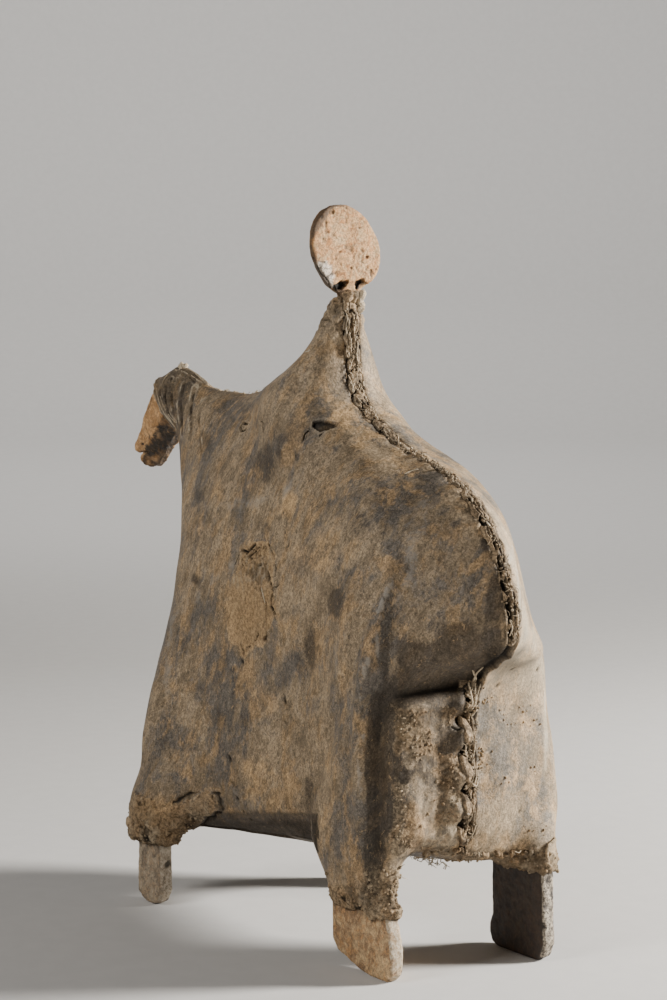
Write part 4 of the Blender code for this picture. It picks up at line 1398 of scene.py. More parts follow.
def darken_shadows(skin):
    """Painted shadow under the rump's ledge, and painted shade in the valley beside it and along the belly's
    edge.
    """
    within = ramp(skin.right, 372, 30) * ramp(skin.right, 512, -16) * skin.seen
    skin.add("soot_and_shade", within * 1.2 * two_sided(skin.above_ledge, 40.0, 9.0))
    skin.add("dark", within * 0.85 * two_sided(skin.above_ledge, 13.0, 4.0))
    skin.add("dark", 0.50 * skin.seen * bell(skin.far(VALLEY), 0.0085))
    belly = skin.seen * ramp(skin.down, 806, 14) * (skin.right > 186) * (skin.right < 318)
    belly *= skin.co[:, 2] < 0.12
    skin.add("soot_and_shade", belly)
    skin.add("dark", 0.55 * belly * ramp(skin.down, 812, 12))


def sink_under_seams(skin, crest):
    """Painted shade in the gaps on both sides of the lacing, and on the sunken hide under it."""
    co, away, half = skin.co, skin.away, skin.half
    firm = np.interp(skin.places, (0.0, 105.0, 125.0), (0.35, 0.35, 1.0))
    gap = bell(away - 1.04 * half, 0.0012)
    skin.add("dark", 0.8 * firm * gap * patchy(co, 0.35, 1.2, 0.007, 95))
    sunk = unit((0.90 * half - away) / 0.0014)
    skin.lift -= 0.0050 * sunk
    skin.add("dark", sunk * (0.45 + 0.55 * firm))
    crest_gap = bell(from_line(co, crest)[0] - 0.0038, 0.0012)
    skin.add("dark", 0.35 * crest_gap * ramp(-co[:, 1], 0.10, 0.02))


def edge_mouth(skin):
    """The hide's raw edge round the horse's face is pale, with a fold behind it darkened as painted shade,
    and the hide darker back from the edge.
    """
    middle = np.array(0.5 * (MOUTH_TOP + MOUTH_LOW))
    forward = (skin.co - middle) @ np.array(mouth_axes()[1])
    near = np.linalg.norm(skin.co - middle, axis=1) < 0.045
    edge = forward + 0.0009 * crags(skin.co, 0.004, 97)
    skin.lift -= near * 0.0010 * bell(edge + 0.0034, 0.0012)
    skin.add("pale", near * 0.8 * bell(edge - 0.0002, 0.0016))
    skin.add("dark", near * 0.7 * bell(edge + 0.0034, 0.0011))
    skin.add("soot_and_shade", near * 0.5 * unit(-forward / 0.006))


def hide_body(look, mat, rng):
    """The hide's closed skin: the solid's form with cuffs, the edge at the face and seam ridges."""
    bm = bmesh.new()
    bm.from_mesh(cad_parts["hide"].data)
    for node, below, above in zip(LEG_NODES, (0.004, 0.004, 0.005, 0.004), (0.012, 0.012, 0.010, 0.008)):
        leg_collar(bm, node, below, above, rng)
    ring, ahead = mouth_ring(0.0016, -0.0012)
    ring_cord(bm, ring, ahead, 0.0021)
    # the hide goes on under the two seams
    lines = ((BACK_LINE, 0.0138, 0.0056, 0.0024), (CREST_LINE, 0.0085, 0.0036, 0.0014))
    for points, width, thick, sunk in lines:
        line = median_line(points, 0.004)
        outs = rail_frames(line)
        strand(bm, [place - out * sunk for place, out in zip(line, outs)], width, thick, outs, 12)
    return skin_over("hide_cover", bm, look.hide_cell, 9, mat)


def build_hide(look, mat):
    rng = random.Random(11)
    hide = hide_body(look, mat, rng)
    seam = median_line(BACK_LINE, 0.006)
    for level in range(3):
        refine(hide, crumpled, seam, level)
    skin = HideSkin(hide, seam)
    shape_flanks(skin, look.stitch_pitch)
    skin.move_to(skin.lifted() + turn_under(skin))
    gather_neck(skin)
    steps = (
        lay_earth, soil_left_panel, soil_head_folds, peel_flank, cut_cracks, weather, darken_shadows,
    )
    for step in steps:
        step(skin)
    sink_under_seams(skin, median_line(CREST_LINE, 0.005))
    edge_mouth(skin)
    set_points(hide, skin.lifted())
    for name, values in skin.marks.items():
        mark(hide, name, values)
    hide_extras(hide, skin.tree, rng)
    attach(hide, "root")
    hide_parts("hide")
    return hide


# Lacing

class SeamBand:
    """A band of crumpled hide laid over a seam; places along it and across it are in millimetres.

    Across is positive on the figure's left.
    """

    def __init__(self, points, tree, widths, step):
        self.line = median_line(points, 0.001)
        self.outs = rail_frames(self.line)
        self.length = float(len(self.line) - 1)
        self.halves = half_width(widths, np.arange(len(self.line)))
        feet = np.array((-1.45, -1.3, -1.16, 1.16, 1.3, 1.45))
        levels = np.zeros((len(self.line), len(feet)))
        for k, (point, out) in enumerate(zip(self.line, self.outs)):
            for j, foot in enumerate(feet):
                start = point + Vector((0.001 * foot * self.halves[k], 0.0, 0.0))
                hit = tree.ray_cast(start + out * 0.012, -out, 0.034)[0] or tree.find_nearest(start)[0]
                levels[k, j] = 1000.0 * (hit - start).dot(out)
        # an arch over the seam, from the hide's level on both sides
        outer = 0.5 * (levels[:, 0] + levels[:, 5])
        inner = 0.5 * (levels[:, 2] + levels[:, 3])
        arch = np.clip((inner - outer) / (1.45 ** 2 - 1.16 ** 2), -0.2, 0.045 * self.halves ** 2)
        level = levels.mean(1) + arch * (feet ** 2).mean()
        shape = np.stack([level, levels @ feet / (feet @ feet), arch], 1)
        kernel = np.ones(11) / 11.0
        padded = np.vstack([np.repeat(shape[:1], 5, 0), shape, np.repeat(shape[-1:], 5, 0)])
        self.shape = np.stack([np.convolve(padded[:, j], kernel, "valid") for j in range(3)], 1)
        rows = int(self.length / step) + 1
        cols = int(2.24 * self.halves.max() / step) + 1
        along, over = np.linspace(0.0, self.length, rows), np.linspace(-1.12, 1.12, cols)
        self.s, self.u = np.meshgrid(along, over, indexing="ij")
        self.t = self.u * self.half_at(self.s)
        for side in (-1.0, 1.0):
            places = np.stack([self.s[:, 0], np.full(rows, 40.0 * side), np.zeros(rows)], 1) / 1000.0
            waver = 0.24 * crags(places, 0.0090, 12, 3) * unit((self.s[:, 0] - 2.0) / 6.0)
            self.t *= 1.0 + waver[:, None] * (self.u * side > 0.0)
        self.points = np.array([list(p) for p in self.line])
        self.ways = np.array([list(p) for p in self.outs])

    def half_at(self, s):
        return np.interp(s, np.arange(len(self.halves)), self.halves)

    def base(self, s, t):
        """Level of the smooth arch over the seam."""
        k = np.arange(len(self.shape))
        u = t / self.half_at(s)
        level, slope, arch = (np.interp(s, k, self.shape[:, n]) for n in range(3))
        return level + slope * u - arch * u * u

    def at(self, s, t, rise):
        """Points at places along and across, raised over the arch."""
        s = np.clip(np.asarray(s, float), 0.0, self.length)
        t = np.asarray(t, float)
        k = np.arange(len(self.points))
        line = np.stack([np.interp(s, k, self.points[:, j]) for j in range(3)], -1)
        out = np.stack([np.interp(s, k, self.ways[:, j]) for j in range(3)], -1)
        z = self.base(s, t) + rise
        across = np.zeros(line.shape)
        across[..., 0] = t / 1000.0
        return line + across + out * (z / 1000.0)[..., None]

    def near_stroke(self, points):
        """Distance across a stroke of (along, across) places, share along it, and which side."""
        best = np.full(self.s.shape, 99.0)
        share = np.zeros(self.s.shape)
        side = np.zeros(self.s.shape)
        count = len(points) - 1
        for k, ((s0, t0), (s1, t1)) in enumerate(zip(points, points[1:])):
            ws, wt = s1 - s0, t1 - t0
            size = math.hypot(ws, wt) + 1e-6
            u = unit(((self.s - s0) * ws + (self.t - t0) * wt) / size ** 2)
            d = np.hypot(self.s - s0 - u * ws, self.t - t0 - u * wt)
            near = d < best
            best = np.where(near, d, best)
            share = np.where(near, (k + u) / count, share)
            side = np.where(near, np.sign((self.s - s0) * wt - (self.t - t0) * ws), side)
        return best, share, side

    def crags(self, size, seed, octaves=2):
        """Crags over the band, in metres of it laid flat."""
        flat = np.stack([self.s.ravel(), self.t.ravel(), np.zeros(self.s.size)], 1) / 1000.0
        return crags(flat, size, seed, octaves).reshape(self.s.shape)

    def lay_fold(self, points, wide, tall, tone):
        """Lay a fold of hide: steep with a raw edge on its upper side, soft on the other."""
        d, share, side = self.near_stroke(points)
        ends = unit(np.minimum(share, 1.0 - share) * 5.0) ** 0.6
        v = d * side
        body = np.where(v > 0.0, unit(1.0 - v / (0.34 * wide)) ** 0.5, unit(1.0 + v / wide) ** 0.8)
        fold = tall * ends * body
        above = (fold > self.height) & (fold > 0.05)
        edge = bell(v - 0.17 * wide, 0.09 * wide) * ends
        # beyond its raw edge the fold casts a painted shadow
        beyond = np.where(above, 0.0, bell(v - 0.52 * wide, 0.20 * wide) * ends * (v > 0.0))
        self.pale = np.where(above, tone * unit(edge + 0.05), self.pale)
        self.dark = np.maximum(np.where(above, 0.0, self.dark), 0.95 * beyond)
        self.height = np.where(above, fold, self.height) - 0.8 * beyond

    def lay_pad(self, place, size, turn, tall, tone, seed, uneven=0.30):
        """Lay a puffy pad of gathered hide, with painted shade in the gap round it and at its rim."""
        c, n = math.cos(turn), math.sin(turn)
        a = ((self.s - place[0]) * c + (self.t - place[1]) * n) / size[0]
        b = ((self.t - place[1]) * c - (self.s - place[0]) * n) / size[1]
        flat = np.stack([self.s.ravel(), self.t.ravel(), np.full(self.s.size, 3.0 * seed)], 1) / 1000.0
        d = np.hypot(a, b) + uneven * crags(flat, 0.0042, seed, 3).reshape(a.shape)
        rough = 0.85 + 0.3 * crags(flat, 0.0022, seed + 3, 2).reshape(a.shape)
        dome = tall * np.sqrt(unit(1.0 - d ** 2)) * rough
        on = (dome > self.height) & (dome > 0.02)
        gap = bell(d - 1.14, 0.13)
        fringe = bell(d - 0.90, 0.06) * (b > 0.0)
        self.pale = np.where(on, tone * fringe, self.pale)
        self.dark = np.where(on, 0.7 * unit((d - 0.93) / 0.07), np.maximum(self.dark, 0.95 * gap))
        self.height = np.where(on, dome, self.height - 1.2 * gap)

    def lay_cord(self, points, wide, tall, tone):
        """Lay a thin thong."""
        d, share, side = self.near_stroke(points)
        ends = unit(np.minimum(share, 1.0 - share) * 8.0)
        cord = np.sqrt(unit(1.0 - (2.0 * d / wide) ** 2)) * ends
        on = cord > 0.02
        over = self.height * 0.35 + 0.65 * np.maximum(self.height, 0.0) + tall * cord
        shaded = bell(d - 0.75 * wide, 0.22 * wide) * ends
        self.height = np.where(on, over, self.height)
        self.pale = np.where(on, tone * (0.35 + 0.65 * cord), self.pale)
        self.dark = np.where(on, 0.0, np.maximum(self.dark, 0.7 * shaded))

    def sink(self, share, depth):
        """Let a share of the surface down to a depth, darkened as painted shade and without raw edges."""
        self.height = self.height * (1.0 - share) - depth * share
        self.dark = np.maximum(self.dark, share)
        self.pale = self.pale * (1.0 - share)

    def body(self, name, sway):
        """Close the band into a body with its marks, on its own line of the hide."""
        s, t = self.s, self.t
        shift = sway * self.crags(0.0035, 3, 2)
        edge = unit((np.abs(self.u) - 0.90) / 0.22)
        ends = unit(np.minimum(s, self.length - s) / 2.0)
        top = self.height * (1.0 - edge) * ends - 1.3 * edge - 0.8 * (1.0 - ends)
        points = self.at(s + shift, t + 0.6 * shift[::-1], top)
        rows, cols = s.shape
        under = self.at(s[:, [0, -1]], t[:, [0, -1]] * 0.8, np.full((rows, 2), -4.2))
        ring = np.concatenate([points, under[:, ::-1]], 1)
        count = cols + 2
        faces = []
        for r in range(rows - 1):
            for c in range(count):
                n = (c + 1) % count
                faces.append((r * count + c, r * count + n, (r + 1) * count + n, (r + 1) * count + c))
        faces.append(tuple(range(count - 1, -1, -1)))
        faces.append(tuple((rows - 1) * count + c for c in range(count)))
        mesh = bpy.data.meshes.new(name)
        mesh.from_pydata([tuple(v) for v in ring.reshape(-1, 3)], [], faces)
        for key, values in (("pale", self.pale), ("dark", self.dark)):
            whole = np.zeros((rows, count))
            whole[:, :cols] = values
            layer = mesh.attributes.new(key, "FLOAT", "POINT")
            layer.data.foreach_set("value", unit(whole.ravel()).astype(np.float32))
        return mesh

    def loose_strand(self, scraps, points, width, rise, tone, sides=7):
        """A thong or a torn strip that stands clear of the band."""
        places = smooth_line([(s, t, z) for (s, t), z in zip(points, rise)], 5 * len(points))
        line = [Vector(self.at(p.x, p.y, p.z)) for p in places]
        k = max(0, min(len(self.outs) - 1, int(places[len(places) // 2].x)))
        scraps.thread(line, width, (("pale", tone), ("dark", 0.0)), sides, self.outs[k])


def wavy(points, rng, sway):
    return [(s + rng.uniform(-sway, sway), t + rng.uniform(-sway, sway)) for s, t in points]


def seam_object(name, band, sway, add_scraps, node, mat, rng):
    """The closed band with its loose strands and crumbs, in place of its node."""
    mesh = band.body(name, sway)
    bm = bmesh.new()
    bm.from_mesh(mesh)
    bmesh.ops.recalc_face_normals(bm, faces=bm.faces)
    add_scraps(Scraps(bm, ("pale", "dark"), rng), band)
    bm.to_mesh(mesh)
    bm.free()
    obj = new_object(name, mesh, mat)
    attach(obj, "root")
    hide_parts(node)
    return obj


# Where the back seam changes, in millimetres along it from the rider's neck
PADS_END = 118.0
BACK_END = 205.0
RUMP_END = 318.0
FOLD_END = 366.0

# Pads at the top of the neck and round the rump, and the strip round the rump: along and across
NECK_PADS = ((5, 3.0), (9, -2.4), (17, 3.4), (19, -3.8), (29, 4.2), (33, -3.4))
RUMP_PADS = (212, 224, 239, 252, 266, 283, 299, 311)
RUMP_FLAP = ((204, 1.5), (222, 0.6), (238, 1.8), (252, 0.4), (268, 1.6), (284, 0.2), (300, 1.2), (316, -0.4))

# Torn flaps round the rump: start and end along the seam, and how far to its left
RUMP_TEARS = ((206, 232, 2.6), (228, 250, 3.4), (248, 270, 2.2), (266, 292, 3.6), (286, 312, 2.4))

# The knot at the top of the neck, and lumps round it: along, across, rise, size and how pale
NECK_KNOT = (
    (0, -7.6, 1.2, 5.0, 1.0), (4, -7.6, 1.0, 4.4, 0.85), (9, -6.4, 1.2, 3.4, 0.5), (0, -2.0, 1.0, 4.2, 0.1),
    (0, 2.4, 0.4, 4.0, 0.0),
)
NECK_STRIPS = (
    (((4, -7.6), (8, -7.2), (12, -6.0)), (1.8, 3.0, 1.4)), (((16, 4.6), (22, 5.4), (29, 4.4)),
        (0.6, 2.0, 0.8)),
    (((30, -3.6), (37, -2.0), (46, -2.6)), (1.0, 2.8, 1.2)), (((25, 5.8), (33, 4.8), (42, 3.0)),
        (0.5, 2.0, 0.8)),
)

# Strips that cross the dark fold under the rump and its ends: places, rise and width
FOLD_STRIPS = (
    (((352, 0.0), (358, 1.2), (365, 0.2)), (-2.0, -0.6, -0.2), 0.0014),
    (((356, 5.0), (359, 2.4), (363, -1.0)), (-2.0, -0.6, -0.4), 0.0013),
    (((366, 3.0), (373, 1.4), (382, 1.0)), (0.2, 1.4, 1.0), 0.0016),
    (((366, -1.0), (374, -2.2), (384, -0.6)), (0.0, 1.2, 0.8), 0.0013),
    (((298, 3.4), (303, 1.8), (309, 3.0)), (0.2, 1.2, 0.4), 0.0009),
    (((207, 4.0), (211, 2.0), (215, 3.0)), (0.6, 1.8, 0.8), 0.0013),
)


def gather_back_seam(band):
    """The gathered hide of the whole back seam: lumps with crevices between, higher in the middle."""
    s, t = band.s, band.t
    neck = unit((PADS_END - s) / 12.0)
    back = ramp(s, PADS_END, 12.0) * unit((BACK_END - s) / 12.0)
    rump = ramp(s, BACK_END, 12.0) * unit((RUMP_END - s) / 6.0)
    panel = ramp(s, FOLD_END, 6.0)
    flat = np.stack([s.ravel(), t.ravel(), np.zeros(s.size)], 1) / 1000.0
    near, second = pebbles(flat, 0.0052, 31, (1.3, 0.85, 1.0))
    hump = unit(1.0 - np.abs(band.u) ** 2.2)
    crevice = unit(1.0 - (second - near) / 0.22).reshape(s.shape) * hump
    creases = 1.0 - 2.4 * np.abs(band.crags(0.0050, 33, 3))
    tall = 1.4 * neck + 0.8 * back + 1.1 * rump + 0.5 * panel
    band.height = hump * (tall * (0.55 + 0.45 * creases) + 0.35 * band.crags(0.0016, 35, 2)) - 0.3
    band.height -= 1.1 * crevice * (0.4 * neck + 0.6 * back + 0.9 * rump)
    band.pale = np.clip(0.20 * band.crags(0.0035, 37, 2) + 0.05, 0.0, 0.5)
    # painted shade in the crevices between the lumps
    band.dark = 0.9 * crevice * (0.35 * neck + 0.7 * back + 0.9 * rump)
    band.dark = np.maximum(band.dark, 0.55 * rump * unit(0.35 + 1.5 * band.crags(0.0060, 41, 3)))
    return back, panel


def pad_neck(band, rng):
    """Puffy pads with frayed edges, one over the other, down the neck."""
    for along, across in NECK_PADS:
        size = (rng.uniform(5.0, 7.0), rng.uniform(2.4, 3.4))
        turn = rng.uniform(-0.5, 0.5)
        band.lay_pad((along, across), size, turn, rng.uniform(1.6, 2.8), 0.6, along, 0.2)
    place = 44.0
    while place < PADS_END + 4.0:
        half = float(band.half_at(place))
        size = (rng.uniform(8.5, 10.5), half * rng.uniform(0.66, 0.80))
        across = rng.uniform(-1.0, 0.8)
        turn = rng.uniform(0.05, 0.45)
        band.lay_pad((place, across), size, turn, rng.uniform(2.2, 3.2), 0.7, int(place), 0.14)
        place += rng.uniform(13.0, 16.0)


def ridge_back(band, back, rng):
    """A thin crumbly ridge over the back, with small folds across it."""
    ridge = bell(band.t - 0.5 * np.sin(band.s / 6.0), 1.5) * back
    band.height += 1.1 * ridge * np.clip(0.6 + band.crags(0.0040, 43, 3), 0.0, 1.4)
    band.pale = np.maximum(band.pale, 0.7 * ridge * unit(band.crags(0.0028, 47, 2) * 1.8))
    place = PADS_END
    while place < BACK_END:
        stroke = wavy([(place, -1.8), (place + 2.5, 0.2), (place + rng.uniform(3.0, 7.0), 2.0)], rng, 0.8)
        band.lay_fold(stroke, rng.uniform(1.4, 2.6), rng.uniform(0.8, 1.6), rng.uniform(0.3, 0.8))
        place += rng.uniform(4.0, 11.0)
    # two raw edges stand on end beside the opening at the top of the neck
    band.lay_cord(wavy([(12, 4.6), (22, 3.6), (33, 3.2), (46, 1.0)], rng, 0.4), 1.3, 2.0, 0.7)
    band.lay_cord(wavy([(10, 0.6), (20, -0.8), (34, -0.6), (52, -2.6)], rng, 0.4), 1.2, 1.8, 0.65)


def tear_rump(band, rng):
    """Torn flaps round the rump: pads and a strip along the seam, with hollows at its left."""
    for along in RUMP_PADS:
        place = (along, rng.uniform(-1.8, 0.2))
        size = (rng.uniform(5.5, 8.5), rng.uniform(2.2, 3.2))
        turn = rng.uniform(-0.3, 0.3)
        band.lay_pad(place, size, turn, rng.uniform(1.4, 2.4), 0.4, along)
    band.lay_fold(wavy(RUMP_FLAP, rng, 0.8), 3.0, 2.2, 0.12)
    for start, stop, left in RUMP_TEARS:
        middle = 0.5 * (start + stop)
        stroke = wavy([(start, left - 1.6), (middle, left + 1.2), (stop, left - 1.0)], rng, 0.6)
        band.lay_fold(stroke, rng.uniform(2.0, 3.0), rng.uniform(1.4, 2.2), rng.uniform(0.0, 0.25))
    # the torn holes are darkened as painted shade
    hole, deep = torn_holes(band.s, band.t, 0.35 * band.crags(0.0030, 39, 3))
    band.height = band.height - deep
    band.dark = np.maximum(band.dark, hole)
    band.pale = band.pale * (1.0 - hole)
    # under the rump the seam lies in a fold, darkened as painted shade
    s = band.s
    band.sink(ramp(s, RUMP_END, 5.0) * unit((FOLD_END + 4.0 - s) / 8.0), 4.2)


def stitch_panel(band, panel, rng):
    """Down the panel the hide swells between the stitches, with a hole at the left of each; the holes and a
    groove get painted shade.
    """
    s, t = band.s, band.t
    holes = [FOLD_END + 3.0 + (y - 698.0) / 1.45 for x, y in LOWER_HOLES]
    for n, (hole, after) in enumerate(zip(holes, holes[1:] + [band.length + 6.0])):
        size = 0.5 * (after - hole)
        left = (hole + 0.98 * size, 3.4)
        band.lay_pad(left, (0.80 * size, 4.3), rng.uniform(-0.40, -0.2), 3.2, 0.2, 70 + n)
        right = (hole + 0.75 * size, -3.0)
        band.lay_pad(right, (0.62 * size, 1.7), rng.uniform(-0.1, 0.25), 1.7, 0.3, 80 + n)
        for across, long, broad in ((3.2, 3.7, 3.9), (-2.4, 2.2, 1.4)):
            # three-cornered: broad above, narrow below
            narrowed = broad * np.clip(1.1 - 0.16 * (s - hole), 0.5, 1.6)
            d = np.hypot((s - hole) / long, (t - across) / narrowed)
            # each hole is sunk and darkened as painted shade
            band.sink(unit((1.2 - d - 0.35 * band.crags(0.003, 50 + n, 2)) / 0.4), 4.0)
        before = hole - rng.uniform(9.0, 13.0)
        for points, wide, tone in (
            (((hole + 0.5, 2.2), (0.5 * (hole + before), 0.2), (before, -1.8)), 1.1, 0.50),
            (((hole + 1.0, -0.4), (hole - 4.0, -1.0), (hole - 8.0, -2.4)), 0.8, 0.60),
        ):
            band.lay_cord(wavy([p for p in points if p[0] < band.length], rng, 0.6), wide, 1.2, tone)
    ridge = bell(t + 0.2 + 0.8 * np.sin(s / 3.4), 0.7) * panel
    groove = bell(t + 3.4 + 0.6 * np.sin(s / 5.0), 0.7) * panel
    band.height = band.height + 0.5 * ridge - 0.8 * groove
    band.pale = np.maximum(band.pale, 0.25 * ridge * unit(0.5 + band.crags(0.004, 61, 2)))
    band.dark = np.maximum(band.dark, 0.7 * groove * unit(0.4 + band.crags(0.006, 63, 2)))


def back_seam_scraps(scraps, band):
    """The knot, the loose strips and frayed threads, and the crumbs of the back seam."""
    rng = scraps.rng
    for along, across, rise, size, tone in NECK_KNOT:
        scraps.crumb(band.at(along, across, rise), 0.001 * size, (("pale", tone),), 3)
    for points, rise in NECK_STRIPS:
        band.loose_strand(scraps, points, 0.0013, rise, rng.uniform(0.4, 0.8))
    for points, rise, width in FOLD_STRIPS:
        band.loose_strand(scraps, points, width, rise, rng.uniform(0.65, 1.0))
    # ends of thong at the stitches of the panel
    for _ in range(18):
        start = rng.uniform(FOLD_END, band.length - 6.0)
        side = rng.choice((1.0, -1.0, -1.0))
        first = (start, side * rng.uniform(0.2, 2.0))
        second = (start + side * rng.uniform(-2.0, 4.0), side * rng.uniform(2.0, 4.0))
        third = (start - rng.uniform(2.0, 8.0), side * rng.uniform(3.0, 6.0))
        width = rng.uniform(0.0007, 0.0015)
        rise = (0.8, rng.uniform(1.0, 2.4), rng.uniform(0.2, 1.4))
        band.loose_strand(scraps, (first, second, third), width, rise, rng.uniform(0.5, 1.0), 5)
    # frayed strips down the neck
    for _ in range(70):
        along = rng.uniform(6.0, PADS_END + 10.0)
        across = rng.uniform(-0.9, 0.9) * float(band.half_at(along))
        reach = rng.uniform(3.0, 9.0)
        points = [(along + reach * u, across + rng.uniform(-1.2, 1.2)) for u in (0.0, 0.5, 1.0)]
        rise = (1.2, rng.uniform(1.8, 3.4), rng.uniform(1.0, 2.6))
        band.loose_strand(scraps, points, rng.uniform(0.0004, 0.0010), rise, rng.uniform(0.2, 0.9), 5)
    # ragged crumbs and fibres all along, but none in the dark fold
    for _ in range(420):
        along = rng.uniform(4.0, band.length - 3.0)
        if RUMP_END - 2.0 < along < FOLD_END - 2.0:
            continue
        across = rng.gauss(0.0, 0.42 * float(band.half_at(along)))
        place = band.at(along, across, 0.7 + rng.uniform(-0.4, 1.2))
        size = 0.001 * rng.uniform(0.4, 1.1)
        scraps.crumb(place, size, (("pale", rng.choice((0.0, 0.0, 0.2, 0.7))),))
    for _ in range(260):
        along = rng.uniform(4.0, band.length - 6.0)
        if RUMP_END - 6.0 < along < FOLD_END - 2.0:
            continue
        side = rng.choice((-1.0, 1.0))
        across = side * rng.uniform(0.0, 0.8) * float(band.half_at(along))
        points = any_way(along, across, rng.uniform(1.5, 4.5), rng)
        rise = (1.0, rng.uniform(1.4, 2.8), rng.uniform(0.8, 3.4))
        band.loose_strand(scraps, points, rng.uniform(0.0003, 0.0006), rise, rng.uniform(0.3, 0.85), 4)


def any_way(along, across, size, rng):
    """Three places in a row that leads any way."""
    turn = rng.uniform(0.0, 6.28)
    c, n = size * math.cos(turn), size * math.sin(turn)
    return [(along + u * c, across + u * n) for u in (0.0, 0.5, 1.0)]


def build_back_seam(mat, tree):
    """The back seam: gathered folds down the neck, a crumbly ridge over the back, torn flaps
    round the rump, a dark fold under it and laced Vs down the panel."""
    rng = random.Random(5)
    band = SeamBand(BACK_LINE, tree, SEAM_WIDTHS, SEAM_STEP)
    back, panel = gather_back_seam(band)
    pad_neck(band, rng)
    ridge_back(band, back, rng)
    tear_rump(band, rng)
    stitch_panel(band, panel, rng)
    return seam_object("back_seam", band, 0.5, back_seam_scraps, "back_lacing", mat, rng)


# The knob on the poll: along, across, rise and size; and where small nubs sit on the crest
POLL_KNOB = (
    (14, 0.4, 3.6, 3.6), (12, 1.0, 4.0, 3.0), (16, 0.0, 4.0, 3.2), (15, 1.8, 3.0, 2.8), (18, 0.6, 2.6, 2.4),
    (14, 1.2, 5.2, 2.6),
)
CREST_NUBS = (58, 62, 69, 76, 88, 103, 118, 140, 160, 176)


def crest_seam_scraps(scraps, band):
    """The knob on the poll, the nubs of the stitches, and fibres."""
    rng = scraps.rng
    for along, across, rise, size in POLL_KNOB:
        scraps.crumb(band.at(along, across, rise), 0.001 * size, (("pale", 1.0),))
    for along in CREST_NUBS:
        for _ in range(3):
            place = band.at(along + rng.uniform(-1.5, 1.5), rng.uniform(-1.2, 1.2), 0.5)
            scraps.crumb(place, 0.001 * rng.uniform(0.5, 1.1), (("pale", 0.85),))
    for _ in range(50):
        along = rng.uniform(2.0, band.length - 4.0)
        turn = rng.uniform(0.0, 6.28)
        size = rng.uniform(1.0, 3.0)
        points = [(along + size * u * math.cos(turn), size * u * math.sin(turn)) for u in (0.0, 0.5, 1.0)]
        rise = (0.6, rng.uniform(0.8, 1.8), rng.uniform(0.4, 2.2))
        band.loose_strand(scraps, points, 0.00045, rise, 0.9, 4)


def build_crest_seam(mat, tree):
    """The crest seam: two pale cords with a slit between them behind the poll, darkened as painted shade,
    then small nubs, and a knob on the poll."""
    rng = random.Random(8)
    band = SeamBand(CREST_LINE, tree, CREST_WIDTHS, SEAM_STEP)
    s = band.s
    hump = unit(1.0 - band.u ** 2)
    front = unit((52.0 - s) / 8.0)
    slit = bell(band.t - 1.7, 0.9) * ramp(s, 5.0, 4.0) * front
    band.height = hump * (0.25 + 0.35 * band.crags(0.005, 3, 3)) - 0.25 - 1.6 * slit
    band.pale = np.zeros(s.shape)
    band.dark = slit
    band.lay_cord(wavy([(1, 2.4), (12, 3.9), (26, 3.6), (40, 2.8), (53, 0.6)], rng, 0.35), 2.1, 2.4, 0.85)
    cord = wavy([(0, -0.4), (12, -0.6), (26, -0.8), (40, -0.4), (56, 0.4)], rng, 0.35)
    band.lay_cord(cord, 2.2, 3.4, 0.95)
    band.lay_cord(wavy([(6, 4.9), (16, 5.2), (27, 4.8)], rng, 0.3), 1.2, 1.0, 0.6)
    band.height = band.height + 0.6 * hump * front
    return seam_object("crest_seam", band, 0.3, crest_seam_scraps, "crest_lacing", mat, rng)


# Wooden pieces

def carved(name, node, cell, rounds, mat):
    """A fine skin over a wooden node, ready for wear and cuts."""
    bm = bmesh.new()
    bm.from_mesh(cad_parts[node].data)
    obj = skin_over(name, bm, cell, rounds, mat)
    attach(obj, "root")
    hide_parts(node)
    return obj


# The disc of the rider's head as the picture shows it, and the holes beside the tang:
# pixel, half width, half height, slope and depth
DISC_OUTLINE = (
    (333, 206), (343, 206), (370, 226), (381, 253), (379, 277), (364, 291), (332, 290), (317, 273),
    (309, 240),
)
DISC_HOLES = (
    (339, 286.5, 9.0, 4.4, -0.50, 0.0040), (361.5, 286, 6.4, 5.4, 0.0, 0.0040),
    (332, 212, 2.6, 2.2, 0.0, 0.0008),
    (367, 257, 1.6, 1.4, 0.0, 0.0014), (328, 232, 1.3, 1.1, 0.0, 0.0008), (351, 268, 1.2, 1.4, 0.0, 0.0008),
    (359, 228, 1.4, 1.0, 0.0, 0.0007), (340, 252, 1.0, 1.2, 0.0, 0.0007), (371, 270, 1.4, 1.2, 0.0, 0.0008),
)
DISC_CRACKS = (
    ((317, 266), (321, 274), (328, 281), (330, 288)), ((321, 284), (326, 278), (333, 273)),
    ((313, 258), (319, 262), (325, 262)),
)


